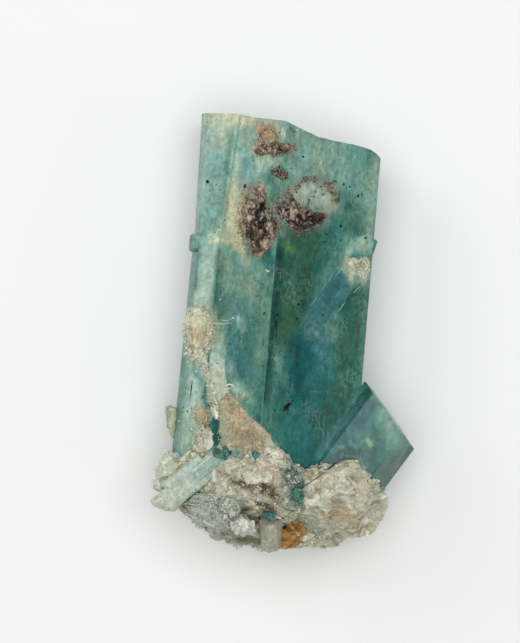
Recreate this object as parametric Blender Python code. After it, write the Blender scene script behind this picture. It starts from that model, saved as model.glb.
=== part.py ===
"""An aquamarine crystal specimen, lying on the flat back of its largest crystal.

The frame is in metres. +Y runs along the main crystal's long axis, from the matrix at its root
to the broken top, +X is to its right, and +Z points up, out of its front. Z = 0 is the surface
that it lies on, and the origin is on the flat back, under the middle of the crystal.

Sizes below are in millimetres, and MM turns them into metres where a mesh is made. Solids that
meet keep GAP between them, because each mineral is a solid of its own.
"""

import bmesh
import bpy
import numpy as np
from mathutils import Euler, Vector

MM = 0.001
GAP = 0.3

# ---------------------------------------------------------------- driving sizes, in millimetres
RIDGE_X, FRONT_Z = -0.6, 12.0  # the long edge at the front, and its height above the flat back
RIGHT_X, RIGHT_Z = 8.7, 7.9  # the right-hand edge
LEFT_X, LEFT_Z = -6.1, 8.2  # the edge where the left-hand crystals join
ROOT_Y = -15.0  # lower end of the main crystal, inside the matrix

# Section of the main crystal as (x, z), clockwise from the front ridge as seen from its top.
MAIN_SECTION = [
    (RIDGE_X, FRONT_Z),
    (RIGHT_X, RIGHT_Z),
    (8.35, 3.4),
    (5.7, 0.0),
    (-4.9, 0.0),
    (-7.3, 2.7),
    (LEFT_X, LEFT_Z),
]
MAIN_STRIPS = [15, 4, 3, 5, 3, 4, 9]  # growth strips on each of those faces
GROOVE_DEPTH = 0.06

# The broken top, as (x, y) along its upper edge, and how far it drops per millimetre to the back.
TOP_EDGE = [
    (-9.0, 20.2),
    (-5.1, 20.2),
    (-2.9, 20.0),
    (-0.7, 19.8),
    (0.4, 19.4),
    (1.3, 19.1),
    (2.5, 18.7),
    (3.7, 18.55),
    (6.6, 18.3),
    (7.6, 18.1),
    (8.2, 17.8),
    (8.8, 17.3),
]
TOP_FALL = 0.05

# Crystals grown side by side with the main one: lower and upper section as (x, z).
UPPER_LEFT = {
    "low_y": 7.6,
    "high_y": 20.35,
    "low": [(-6.05, 8.5), (-4.6, 7.5), (-4.6, 1.6), (-7.0, 1.3), (-8.3, 3.2), (-8.45, 6.5), (-7.9, 7.85)],
    "high": [(-5.1, 9.2), (-4.0, 7.5), (-4.2, 1.8), (-7.2, 1.5), (-8.6, 3.4), (-8.75, 6.6), (-8.1, 8.25)],
}
LOWER_LEFT = {
    "low_y": -13.0,
    "high_y": 8.35,
    "low": [(-6.0, 8.45), (-4.5, 7.4), (-4.5, 1.4), (-7.0, 1.1), (-8.6, 2.9), (-8.92, 6.5), (-8.05, 8.25)],
    "high": [(-6.05, 8.5), (-4.5, 7.4), (-4.5, 1.4), (-6.8, 1.1), (-8.3, 2.9), (-8.55, 6.6), (-7.95, 8.3)],
}
LEDGE = {
    "low_y": 6.95,
    "high_y": 8.62,
    "low": [(-6.6, 8.4), (-6.6, 4.6), (-8.5, 4.9), (-8.75, 7.3), (-8.2, 8.4)],
    "high": [(-6.5, 8.45), (-6.5, 4.5), (-8.7, 4.7), (-9.0, 7.2), (-8.3, 8.5)],
}
SHOULDER = {  # the pale strip low on the left of the front
    "low_y": -7.2,
    "high_y": -0.3,
    "low": [(-4.05, 9.62), (-4.3, 8.0), (-6.0, 7.6), (-6.25, 8.6), (-5.9, 9.3)],
    "high": [(-4.55, 9.32), (-4.7, 8.0), (-6.0, 7.6), (-6.2, 8.5), (-5.95, 9.0)],
}

# Slanting crystals: the axis from start to end as (x, y, z), the side that faces up, and the
# section round the axis as (across, up). tilt is how far the end face leans along the axis for
# each millimetre across and up, and point is the length of a pointed end.
UPPER_SLANT = {
    "start": (2.86, -0.64, 9.5),
    "end": (7.74, 8.81, 7.95),
    "up": (0.4, 0.0, 0.92),
    "section": [(-1.35, 0.9), (1.15, 0.9), (1.35, -0.1), (1.0, -0.9), (-1.1, -0.9), (-1.65, 0.0)],
    "tilt": (0.22, -0.4),
}
LOWER_SLANT = {
    "start": (6.0, -16.75, 5.2),
    "end": (11.96, -7.19, 5.0),
    "up": (0.0, 0.0, 1.0),
    "section": [(-3.1, 4.65), (1.5, 4.35), (3.6, 0.4), (2.1, -3.7), (-2.6, -3.8), (-4.3, 2.7)],
    "tilt": (-0.318, -0.06),
}
SMALL_CRYSTAL = {
    "start": (-4.25, -12.35, 11.55),
    "end": (-9.35, -17.45, 9.2),
    "up": (0.0, 0.0, 1.0),
    "section": [(-0.75, 1.05), (0.7, 1.05), (1.3, 0.1), (0.75, -1.0), (-0.75, -1.0), (-1.3, 0.05)],
    "tilt": (0.3, -0.35),
    "point": 0.5,
}
SMOKY_CRYSTAL = {
    "start": (1.0, -17.6, 11.1),
    "end": (1.5, -20.6, 9.9),
    "up": (0.0, 0.0, 1.0),
    "section": [(-0.55, 1.1), (0.6, 1.15), (1.05, 0.1), (0.6, -1.2), (-0.6, -1.2), (-1.1, 0.0)],
    "tilt": (0.12, -0.3),
    "point": 0.32,
}

# Cleaved blocks: centre, half sizes and turn about X, Y and Z in degrees.
QUARTZ_BLOCKS = [
    ((-8.5, -13.55, 6.7), (1.75, 1.35, 2.5), (8, -12, 24)),
    ((-9.25, -15.25, 6.2), (1.1, 1.25, 2.1), (-10, 14, -12)),
    ((-7.35, -12.7, 6.9), (1.2, 1.0, 2.1), (14, 9, 47)),
]
CHIP_BLOCKS = [((-9.05, -9.4, 5.4), (0.62, 1.6, 1.35), (4, 10, 10))]
FELDSPAR_BLOCKS = [((-1.4, -18.4, 10.9), (1.15, 0.85, 1.5), (-14, 6, 12))]
STAINED_BLOCKS = [
    ((3.05, -19.2, 9.6), (1.05, 0.95, 1.5), (12, -8, -9)),
    ((3.65, -18.5, 9.6), (0.8, 0.8, 1.2), (-18, 12, 31)),
]
BLOCK_BEVEL = 0.28  # of half a block's side
MICA_BOOK = {
    "centre": (-4.3, -18.1, 8.7),
    "turn": (-14, 4, -17),
    "leaf": (2.2, 0.24, 2.3),
    "slide": [0.0, 0.25, -0.18, 0.3, -0.12, 0.2],
}

# The matrix: feldspar, quartz and mica grown round the crystals' roots. Its outline is seen from
# the front, clockwise from the left, and it has these rings over the front and down the sides.
MATRIX_OUTLINE = [
    (-8.5, -15.8),
    (-8.1, -14.2),
    (-7.0, -13.2),
    (-5.6, -12.2),
    (-4.3, -11.3),
    (-2.4, -11.1),
    (-0.3, -11.0),
    (1.7, -11.2),
    (2.5, -12.2),
    (3.6, -12.8),
    (4.9, -13.3),
    (6.0, -12.4),
    (7.4, -11.5),
    (9.2, -11.4),
    (10.9, -12.6),
    (11.7, -14.6),
    (11.3, -16.7),
    (10.0, -18.4),
    (8.3, -19.5),
    (6.3, -20.1),
    (4.3, -20.2),
    (2.6, -20.1),
    (1.3, -19.9),
    (0.2, -20.3),
    (-0.6, -20.8),
    (-2.4, -20.6),
    (-3.6, -20.45),
    (-4.6, -19.9),
    (-5.6, -19.3),
    (-6.7, -18.4),
    (-7.6, -17.6),
]
MATRIX_MIDDLE = (1.4, -16.0)
MATRIX_COVER = [(-9.0, 6.6), (-6.1, 9.0), (-0.6, 12.3), (3.6, 10.9), (8.6, 10.3), (11.6, 7.4)]  # x, z
MATRIX_FRONT_SHARES = [0.12, 0.25, 0.37, 0.48, 0.58, 0.68, 0.77, 0.86, 0.94, 1.0]
MATRIX_SIDE_LEVELS = [(0.84, 1.02), (0.62, 1.01), (0.4, 0.97), (0.2, 0.88), (0.09, 0.72), (0.06, 0.4)]
MATRIX_SPOKES = 64
MATRIX_CROWN = 1.5  # how far the middle of the front stands above its rim
MATRIX_LOW_EDGE = 6.4  # height of the rim at the lower end
BLOCK_SIZE, BLOCK_STEP = 2.3, 0.5  # the matrix's blocks, and how far they stand out
GRAIN_SIZE, GRAIN_STEP = 1.1, 0.22
MATRIX_CALM = 2.5  # within this of the middle, where the rings close in, the steps fade out

# The crust of feldspar that runs up the crystal's front: y, left x, right x and thickness.
CRUST_ROWS = [
    (1.75, -7.5, -7.0, 0.3),
    (0.95, -8.45, -6.25, 0.6),
    (0.2, -8.7, -6.05, 0.85),
    (-0.7, -8.35, -6.2, 0.8),
    (-1.6, -8.05, -6.3, 0.8),
    (-2.5, -7.85, -6.35, 0.8),
    (-3.4, -7.6, -6.35, 0.8),
    (-4.3, -7.5, -6.35, 0.8),
    (-5.2, -7.3, -6.2, 0.85),
    (-6.1, -7.0, -5.6, 1.0),
    (-6.8, -6.5, -2.9, 1.2),
    (-7.6, -5.7, -1.9, 0.9),
    (-8.5, -5.2, -1.05, 0.7),
    (-9.4, -4.95, -0.2, 0.75),
    (-10.3, -4.75, 0.65, 0.8),
    (-11.1, -4.7, 1.6, 0.85),
    (-12.2, -4.8, 2.3, 0.9),
    (-13.2, -4.2, 1.6, 0.9),
]
CRUST_ACROSS = 11

# Patches of grains set into the faces: outline as (x, y), rise above the face and depth below.
PATCHES = {
    "brown_grains_top": {
        "outline": [(-4.1, 18.4), (-3.4, 19.4), (-1.7, 19.2), (-0.4, 18.4), (0.7, 17.8), (-0.4, 17.1),
                    (-1.6, 16.5), (-2.8, 16.6), (-3.8, 17.2)],
        "rise": 0.28,
        "depth": 0.8,
    },
    "brown_grains_left": {
        "outline": [(-4.3, 12.9), (-3.5, 14.0), (-2.3, 13.8), (-1.95, 12.5), (-0.95, 11.4), (-0.9, 9.7),
                    (-1.5, 8.2), (-2.3, 7.0), (-3.6, 8.0), (-4.4, 9.7), (-4.7, 11.2)],
        "rise": 0.38,
        "depth": 1.0,
    },
    "brown_grains_right": {
        "outline": [(-0.45, 11.6), (0.2, 13.4), (1.3, 14.8), (3.0, 15.1), (4.6, 14.2), (5.2, 12.9),
                    (4.4, 11.4), (3.2, 10.3), (1.9, 9.7), (0.5, 10.2)],
        "rise": 0.3,
        "depth": 0.95,
    },
    "cream_patch": {
        "outline": [(6.0, 7.3), (6.7, 7.75), (7.6, 7.5), (8.3, 7.8), (8.35, 6.6), (7.9, 5.8), (7.1, 5.4),
                    (6.3, 5.9)],
        "rise": 0.3,
        "depth": 0.5,
    },
    "tan_patch": {
        "outline": [(-7.6, -8.3), (-7.0, -7.8), (-6.45, -8.0), (-6.2, -8.8), (-6.4, -9.6), (-7.1, -9.5)],
        "rise": 0.3,
        "depth": 0.5,
    },
}
PATCH_RINGS, PATCH_SPOKES = 5, 26

# Each finish: colour and roughness.
FINISHES = {
    "aquamarine": ((0.145, 0.43, 0.44, 1), 0.18),
    "pale_aquamarine": ((0.42, 0.62, 0.58, 1), 0.25),
    "feldspar": ((0.63, 0.58, 0.5, 1), 0.8),
    "white_feldspar": ((0.72, 0.71, 0.68, 1), 0.6),
    "quartz": ((0.7, 0.74, 0.66, 1), 0.3),
    "yellow_quartz": ((0.6, 0.62, 0.42, 1), 0.35),
    "smoky_quartz": ((0.42, 0.43, 0.41, 1), 0.3),
    "mica": ((0.42, 0.46, 0.43, 1), 0.4),
    "iron_stain": ((0.5, 0.3, 0.1, 1), 0.7),
    "brown_grains": ((0.24, 0.15, 0.13, 1), 0.75),
}


# ---------------------------------------------------------------- meshes and materials
def clear_scene():
    for thing in list(bpy.data.objects):
        bpy.data.objects.remove(thing, do_unlink=True)


def material(name):
    """The Principled BSDF material of that name, made at its first use."""
    found = bpy.data.materials.get(name)
    if found:
        return found
    made = bpy.data.materials.new(name)
    made.use_nodes = True
    colour, roughness = FINISHES[name]
    shader = made.node_tree.nodes["Principled BSDF"]
    shader.inputs["Base Color"].default_value = colour
    shader.inputs["Roughness"].default_value = roughness
    shader.inputs["Metallic"].default_value = 0.0
    return made


def finished(name, shape, finish, helper=False):
    """The object made from a bmesh. A helper is only a cutter, or is joined into another solid."""
    data = bpy.data.meshes.new(name)
    shape.to_mesh(data)
    shape.free()
    data.materials.append(material(finish))
    made = bpy.data.objects.new(name, data)
    bpy.context.scene.collection.objects.link(made)
    if helper:
        made.hide_render = True
        made.display_type = "WIRE"
    return made


def ring_solid(name, rings, finish, helper=False):
    """A closed solid through rings of equally many points, each end closed round its middle."""
    shape = bmesh.new()
    rows = [[shape.verts.new(Vector(p) * MM) for p in ring] for ring in rings]
    first, last = (shape.verts.new(Vector(np.mean(rings[k], axis=0)) * MM) for k in (0, -1))
    count = len(rows[0])
    for k in range(count):
        n = (k + 1) % count
        shape.faces.new((first, rows[0][n], rows[0][k]))
        shape.faces.new((last, rows[-1][k], rows[-1][n]))
        for low, high in zip(rows, rows[1:]):
            shape.faces.new((low[k], low[n], high[n], high[k]))
    bmesh.ops.recalc_face_normals(shape, faces=shape.faces)
    bmesh.ops.triangulate(shape, faces=shape.faces)
    return finished(name, shape, finish, helper)


def boolean(target, other, operation):
    step = target.modifiers.new(f"{operation.lower()}_{other.name}", "BOOLEAN")
    step.operation = operation
    step.solver = "EXACT"
    step.object = other


# ---------------------------------------------------------------- noise for broken surfaces
def hashed(cell, seed):
    """A number from 0 to 1 for each whole-numbered cell."""
    mixed = np.sin(cell @ np.array([127.1, 311.7, 74.7]) + seed * 19.19) * 43758.5453
    return mixed - np.floor(mixed)


def smooth_noise(points, size, seed):
    """Noise from -1 to 1 that changes smoothly over size: values at cell corners, blended."""
    spot = points / size
    corner = np.floor(spot)
    part = spot - corner
    part = part * part * (3 - 2 * part)
    total = np.zeros(len(points))
    for step in np.ndindex(2, 2, 2):
        weight = np.prod(np.where(np.array(step) == 1, part, 1 - part), axis=1)
        total += weight * hashed(corner + np.array(step), seed)
    return 2 * total - 1


def block_noise(points, size, seed):
    """Steps from -1 to 1 between irregular blocks, each with a flat, tilted top."""
    spot = points / size
    corner = np.floor(spot)
    nearest = np.full(len(points), 9.0)
    height = np.zeros(len(points))
    for step in np.ndindex(3, 3, 3):
        cell = corner + np.array(step) - 1
        middle = cell + np.stack([hashed(cell, seed + k) for k in (1, 2, 3)], axis=1)
        away = spot - middle
        distance = np.linalg.norm(away, axis=1)
        tilt = np.stack([hashed(cell, seed + k) - 0.5 for k in (4, 5, 6)], axis=1)
        value = 2 * hashed(cell, seed + 7) - 1 + 1.2 * (away * tilt).sum(axis=1)
        height = np.where(distance < nearest, value, height)
        nearest = np.minimum(nearest, distance)
    return height


# ---------------------------------------------------------------- prisms
def outward(a, b, inside):
    """The unit normal of the side from a to b that points away from inside."""
    out = np.array([-(b[1] - a[1]), b[0] - a[0]], float)
    out = out / np.hypot(*out)
    return -out if out @ (np.array(a) - inside) < 0 else out


def pushed_out(section, by):
    """A convex outline with each side moved outwards by that much."""
    corners = np.array(section, float)
    inside = corners.mean(axis=0)
    following = np.roll(corners, -1, axis=0)
    starts = np.array([a + outward(a, b, inside) * by for a, b in zip(corners, following)])
    ways = following - corners
    moved = []
    for k in range(len(corners)):
        p, u, q, v = starts[k - 1], ways[k - 1], starts[k], ways[k]
        gap = q - p
        moved.append(p + u * (gap[0] * v[1] - gap[1] * v[0]) / (u[0] * v[1] - u[1] * v[0]))
    return moved


def upright_prism(name, size, grow=0.0, helper=True):
    """A crystal along Y between two sections of equally many corners."""
    rings = []
    for end, y in (("low", size["low_y"] - grow), ("high", size["high_y"] + grow)):
        rings.append([(x, y, z) for x, z in pushed_out(size[end], grow)])
    return ring_solid(name, rings, "aquamarine", helper)


def slanting_prism(name, size, finish="aquamarine", grow=0.0, helper=False):
    """A crystal along its own axis, with a leaning end face and, where it has one, a point."""
    start, end = Vector(size["start"]), Vector(size["end"])
    along = (end - start).normalized()
    across = along.cross(Vector(size["up"])).normalized()
    up = across.cross(along)
    section = pushed_out(size["section"], grow)
    lean_across, lean_up = size["tilt"]
    start, end = start - along * grow, end + along * grow
    rings = [[start + across * a + up * b for a, b in section]]
    point = size.get("point", 0.0)
    for share, back in [(1.0, -point), (0.6, 0.0)] if point else [(1.0, 0.0)]:
        rings.append(
            [
                end + across * a * share + up * b * share + along * (a * lean_across + b * lean_up + back)
                for a, b in section
            ]
        )
    return ring_solid(name, rings, finish, helper)


# ---------------------------------------------------------------- the main crystal
def front_z(x):
    """Height of the main crystal's two front faces at x."""
    return np.interp(x, [LEFT_X, RIDGE_X, RIGHT_X], [LEFT_Z, FRONT_Z, RIGHT_Z])


def main_outline():
    """The main section with its growth lines: every other strip edge is a shallow groove."""
    corners = np.array(MAIN_SECTION)
    inside = corners.mean(axis=0)
    points = []
    for a, b, strips in zip(corners, np.roll(corners, -1, axis=0), MAIN_STRIPS):
        out = outward(a, b, inside)
        for k in range(strips):
            share = (k + 0.3 * np.sin(7.1 * k)) / strips
            grooved = k % 2 == 0 and k > 0 and max(a[1], b[1]) > 0
            depth = GROOVE_DEPTH * (0.4 + 0.6 * np.sin(5.0 * k + a[0]) ** 2) if grooved else 0.0
            points.append(a + share * (b - a) - out * depth)
    return np.array(points)


def top_y(x, z):
    """Height of the broken top over a point of the section: its upper edge, falling to the back."""
    behind = np.maximum(front_z(x) - z, 0.0)
    wave = 0.12 * np.sin(0.9 * x + 0.7 * z) * np.minimum(1.0, behind / 3)
    return np.interp(x, *zip(*TOP_EDGE)) - TOP_FALL * behind + wave


def main_crystal():
    outline = main_outline()
    middle = outline.mean(axis=0)
    rings = [[(x, ROOT_Y, z) for x, z in outline]]
    for share in (1.0, 0.78, 0.55, 0.3):
        ring = middle + (outline - middle) * share
        rings.append([(x, top_y(x, z), z) for x, z in ring])
    return ring_solid("aquamarine_crystal", rings, "aquamarine")


def main_room():
    """The main crystal's plain prism, a gap larger, as a cutter for what grows round it."""
    section = pushed_out(MAIN_SECTION, GAP)
    rings = [[(x, y, z) for x, z in section] for y in (ROOT_Y - GAP, 22.0)]
    return ring_solid("room_main", rings, "aquamarine", helper=True)


def crystal_group():
    """The grown-together crystals as one solid, with the pits that hold patches of grains."""
    crystal = main_crystal()
    joined = [
        upright_prism("upper_left", UPPER_LEFT),
        upright_prism("lower_left", LOWER_LEFT),
        upright_prism("ledge", LEDGE),
        upright_prism("shoulder", SHOULDER),
        slanting_prism("upper_slant", UPPER_SLANT, helper=True),
        slanting_prism("lower_slant", LOWER_SLANT, helper=True),
    ]
    for other in joined:
        boolean(crystal, other, "UNION")
    for name, size in PATCHES.items():
        boolean(crystal, patch(f"pit_{name}", size, "brown_grains", grow=GAP, helper=True), "DIFFERENCE")
    return crystal


# ---------------------------------------------------------------- patches of grains
def face_z(x, y):
    """Height of the crystals' front at a point: the highest of those that show there."""
    heights = [front_z(x)]
    if LEDGE["low_y"] < y < LEDGE["high_y"]:
        heights.append(np.interp(x, [-9.0, -8.3, -6.5], [7.2, 8.5, 8.4]))
    if y < LOWER_LEFT["high_y"]:
        heights.append(np.interp(x, [-8.8, -8.0, -6.05, -4.5], [6.6, 8.27, 8.47, 7.4]))
    if y > UPPER_LEFT["low_y"]:
        heights.append(np.interp(x, [-8.6, -8.0, -5.6, -4.3], [6.6, 8.0, 8.85, 7.5]))
    if SHOULDER["low_y"] < y < SHOULDER["high_y"] and -6.2 < x < -4.2:
        heights.append(np.interp(x, [-6.2, -5.9, -4.3], [8.55, 9.15, 9.47]))
    along = np.array(UPPER_SLANT["end"]) - UPPER_SLANT["start"]
    share = (y - UPPER_SLANT["start"][1]) / along[1]
    if 0 < share < 1.02:
        middle = UPPER_SLANT["start"][0] + along[0] * share + 0.36
        off = (x - middle) * 0.875
        if abs(off) < 1.3:
            heights.append(front_z(x) + np.interp(share, [0, 1], [0.05, 0.42]))
    return max(heights)


def patch(name, size, finish, grow=0.0, helper=False):
    """A lens of grains set into a face, round the middle of its outline."""
    outline = np.array(size["outline"])
    middle = outline.mean(axis=0)
    turns = np.linspace(-np.pi, np.pi, PATCH_SPOKES, endpoint=False)
    radius = reach_at(turns, outline, middle) * (1 + 0.07 * np.sin(7 * turns + outline[0, 0])) + grow
    around = np.stack([np.cos(turns), np.sin(turns)], axis=1)

    def layer(share, height):
        """A ring at that share of the outline, this far above or below the face."""
        flat = middle + around * (radius * share)[:, None]
        ring = np.array([(x, y, face_z(x, y) + height) for x, y in flat])
        if height > 0:
            ring[:, 2] += 0.16 * smooth_noise(ring, 0.9, 5)
        return ring

    shares = np.sin(0.5 * np.pi * np.arange(1, PATCH_RINGS + 1) / PATCH_RINGS)
    rise, depth = size["rise"] + grow, size["depth"] + grow
    above = [layer(share, rise * np.sqrt(1.04 - share**2)) for share in shares]
    below = [layer(share, -depth * np.sqrt(1.0 - share**2)) for share in shares[-2::-1]]
    return ring_solid(name, above + below, finish, helper)


def reach_at(turns, outline, middle):
    """Distance from the middle to the outline in each direction, the outline read as a polar curve."""
    arms = np.array(outline) - middle
    angles = np.arctan2(arms[:, 1], arms[:, 0])
    order = np.argsort(angles)
    return np.interp(turns, angles[order], np.hypot(*arms.T)[order], period=2 * np.pi)


# ---------------------------------------------------------------- blocks and mica
def turned_about(centre, turn, points):
    rotation = np.array(Euler(np.radians(turn)).to_matrix())
    return np.array(points) @ rotation.T + np.array(centre)


def block(name, centre, half, turn, finish, grow=0.0, helper=False):
    """A cleaved block: a box with its edges cut off."""
    shape = bmesh.new()
    bmesh.ops.create_cube(shape, size=2.0)
    bmesh.ops.bevel(shape, geom=shape.edges[:], offset=BLOCK_BEVEL, segments=1, affect="EDGES")
    corners = np.array([vert.co for vert in shape.verts]) * (np.array(half) + grow)
    for vert, place in zip(shape.verts, turned_about(centre, turn, corners)):
        vert.co = Vector(place) * MM
    bmesh.ops.triangulate(shape, faces=shape.faces)
    return finished(name, shape, finish, helper)


def blocks(name, sizes, finish, grow=0.0, helper=False):
    """Several blocks grown together as one solid."""
    first = block(name, *sizes[0], finish, grow, helper)
    for k, more in enumerate(sizes[1:], 1):
        boolean(first, block(f"{name}_{k}", *more, finish, grow, helper=True), "UNION")
    return first


def mica_leaf(slide, y, grow=0.0):
    """One six-sided outline of the mica, at its height in the stack."""
    half_x, _, half_z = MICA_BOOK["leaf"]
    turns = np.radians(np.arange(30, 390, 60))
    flat = [slide + np.cos(turns) * (half_x + grow), np.full(6, y), np.sin(turns) * (half_z + grow)]
    return turned_about(MICA_BOOK["centre"], MICA_BOOK["turn"], np.stack(flat, axis=1))


def mica_book(name):
    """A stack of six-sided mica leaves, each slid a little against the next."""
    thick = 2 * MICA_BOOK["leaf"][1]
    count = len(MICA_BOOK["slide"])
    rings = []
    for k, slide in enumerate(MICA_BOOK["slide"]):
        low = (k - count / 2) * thick
        rings += [mica_leaf(slide, low), mica_leaf(slide, low + thick)]
    return ring_solid(name, rings, "mica")


def mica_room():
    """One plain prism round all the leaves, a gap larger, as a cutter."""
    reach = len(MICA_BOOK["slide"]) * MICA_BOOK["leaf"][1] + GAP
    grow = max(MICA_BOOK["slide"]) + GAP
    rings = [mica_leaf(0.0, y, grow) for y in (-reach, reach)]
    return ring_solid("room_mica", rings, "mica", helper=True)


# ---------------------------------------------------------------- matrix and crust
def matrix_rim_z(x, y):
    """Height of the matrix's rim: a little over the crystals it covers, and low at its lower end."""
    cover = np.interp(x, *zip(*MATRIX_COVER))
    down = np.clip((-14.5 - y) / 6.0, 0, 1)
    return cover + (MATRIX_LOW_EDGE - cover) * down * down * (3 - 2 * down)


def matrix_lump():
    """The matrix before the crystals are cut out: rings over its front, then down its sides."""
    middle = np.array(MATRIX_MIDDLE)
    turns = np.linspace(-np.pi, np.pi, MATRIX_SPOKES, endpoint=False)
    arms = np.stack([np.cos(turns), np.sin(turns)], axis=1)
    arms = arms * reach_at(turns, MATRIX_OUTLINE, middle)[:, None]
    rim_z = matrix_rim_z(*(middle + arms).T)
    rings = []
    for share in MATRIX_FRONT_SHARES:
        flat = middle + arms * share
        height = matrix_rim_z(*flat.T) + MATRIX_CROWN * np.sqrt(1 - share**4)
        rings.append(np.column_stack([flat, height]))
    for level, share in MATRIX_SIDE_LEVELS:
        rings.append(np.column_stack([middle + arms * share, rim_z * level]))
    broken = []
    for ring in rings:
        step = BLOCK_STEP * block_noise(ring, BLOCK_SIZE, 3) + GRAIN_STEP * smooth_noise(ring, GRAIN_SIZE, 8)
        step = step * np.minimum(1.0, np.linalg.norm(ring[:, :2] - middle, axis=1) / MATRIX_CALM)
        away = ring - np.array([*middle, 4.0])
        away = away / np.linalg.norm(away, axis=1)[:, None]
        moved = ring + away * step[:, None]
        moved[:, 2] = np.maximum(moved[:, 2], 0.0)
        broken.append(moved)
    return ring_solid("feldspar_matrix", broken, "feldspar")


def crust():
    """The feldspar crust up the front: a strip whose cross-section is an arched sheet."""
    shares = np.linspace(-1, 1, CRUST_ACROSS)
    rings = []
    for y, left, right, thick in CRUST_ROWS:
        xs = (left + right) / 2 + shares * (right - left) / 2
        faces = np.array([face_z(x, y) for x in xs])
        over = np.column_stack([xs, np.full(CRUST_ACROSS, y), faces + GAP + 0.12])
        over[:, 2] += thick * np.sqrt(1.03 - shares**2) + 0.12 * smooth_noise(over, 0.8, 4)
        under = np.column_stack([xs, np.full(CRUST_ACROSS, y), faces - 0.9])
        rings.append(np.concatenate([over, under[::-1]]))
    return ring_solid("crust", rings, "feldspar", helper=True)


# ---------------------------------------------------------------- the whole specimen
def build():
    """Each mineral in turn. What grows on another keeps a gap to it, cut with that one's room."""
    clear_scene()
    crystal_group()
    crystal_rooms = [
        main_room(),
        upright_prism("room_lower_left", LOWER_LEFT, GAP),
        upright_prism("room_shoulder", SHOULDER, GAP),
        slanting_prism("room_lower_slant", LOWER_SLANT, grow=GAP, helper=True),
    ]
    rooms = {
        "small": slanting_prism("room_small", SMALL_CRYSTAL, grow=GAP, helper=True),
        "smoky": slanting_prism("room_smoky", SMOKY_CRYSTAL, grow=GAP, helper=True),
        "quartz": blocks("room_quartz", QUARTZ_BLOCKS, "quartz", GAP, helper=True),
        "feldspar": blocks("room_feldspar", FELDSPAR_BLOCKS, "quartz", GAP, helper=True),
        "stained": blocks("room_stained", STAINED_BLOCKS, "quartz", GAP, helper=True),
        "mica": mica_room(),
    }

    lump = matrix_lump()
    boolean(lump, crust(), "UNION")
    slanting_prism("small_aquamarine", SMALL_CRYSTAL, "pale_aquamarine")
    smoky = slanting_prism("smoky_quartz", SMOKY_CRYSTAL, "smoky_quartz")
    quartz = blocks("quartz_cluster", QUARTZ_BLOCKS, "quartz")
    chip = blocks("quartz_chip", CHIP_BLOCKS, "yellow_quartz")
    feldspar = blocks("feldspar_block", FELDSPAR_BLOCKS, "white_feldspar")
    stained = blocks("iron_stained_grain", STAINED_BLOCKS, "iron_stain")
    mica = mica_book("mica_book")
    cuts = [
        (lump, list(rooms)),
        (smoky, []),
        (quartz, ["small"]),
        (chip, []),
        (feldspar, ["smoky"]),
        (stained, ["smoky"]),
        (mica, ["feldspar", "small"]),
    ]
    for target, names in cuts:
        for room in crystal_rooms + [rooms[name] for name in names]:
            boolean(target, room, "DIFFERENCE")

    for name, size in PATCHES.items():
        patch(name, size, "brown_grains" if name.startswith("brown") else "feldspar")


build()
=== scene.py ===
# The aquamarine group as it lies on a pale table, seen from straight above.
# Lengths are in millimetres until a mesh is made, and +Y runs along the big crystal.
from math import radians

import bpy
import numpy as np
from mathutils import Euler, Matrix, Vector


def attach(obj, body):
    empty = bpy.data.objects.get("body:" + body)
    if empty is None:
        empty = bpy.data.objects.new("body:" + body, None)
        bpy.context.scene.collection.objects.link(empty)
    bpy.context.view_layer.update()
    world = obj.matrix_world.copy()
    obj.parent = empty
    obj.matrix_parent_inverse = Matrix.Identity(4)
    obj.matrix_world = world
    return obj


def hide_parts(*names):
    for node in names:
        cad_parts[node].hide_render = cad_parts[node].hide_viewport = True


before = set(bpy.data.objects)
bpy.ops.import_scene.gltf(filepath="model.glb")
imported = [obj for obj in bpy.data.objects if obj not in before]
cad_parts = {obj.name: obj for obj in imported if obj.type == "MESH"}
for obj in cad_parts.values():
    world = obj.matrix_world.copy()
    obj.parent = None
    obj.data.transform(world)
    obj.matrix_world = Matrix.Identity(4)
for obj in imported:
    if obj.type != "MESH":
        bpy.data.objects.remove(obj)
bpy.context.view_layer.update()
mm = 0.001
print("frame loaded,", len(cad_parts), "solids")


# noise and small sums, all on whole arrays
def smoothStep(low, high, value):
    share = np.clip((value - low) / (high - low), 0.0, 1.0)
    return share * share * (3.0 - 2.0 * share)


def cellNumber(cell, seed):
    # each whole-numbered cell gets a fixed number from 0 to 1, by mixing its bits
    c = cell.astype(np.int64)
    mixed = (c[..., 0] * 374761393 + c[..., 1] * 668265263 + c[..., 2] * 2147483629
             + seed * 97531) & 0xFFFFFFFF
    mixed = ((mixed ^ (mixed >> 13)) * 1274126177) & 0xFFFFFFFF
    mixed = ((mixed ^ (mixed >> 16)) * 2246822519) & 0xFFFFFFFF
    return (mixed >> 8) / float(0xFFFFFF)


def softNoise(points, size, seed):
    # numbers at the corners of boxes of that size, blended smoothly between them, from -1 to 1
    spot = points / np.asarray(size, float)
    corner = np.floor(spot)
    part = spot - corner
    part = part * part * (3.0 - 2.0 * part)
    total = np.zeros(points.shape[:-1])
    for step in np.ndindex(2, 2, 2):
        weight = np.prod(np.where(np.array(step) == 1, part, 1.0 - part), axis=-1)
        total += weight * cellNumber(corner + np.array(step), seed)
    return 2.0 * total - 1.0


def cloudNoise(points, size, seed, octaves=3):
    # soft noise with ever finer and weaker noise added to it
    total = np.zeros(points.shape[:-1])
    size = np.asarray(size, float)
    for k in range(octaves):
        total += softNoise(points + 17.3 * k, size / 2**k, seed + k) * 0.5**k
    return total / (2.0 - 0.5 ** (octaves - 1))


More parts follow.
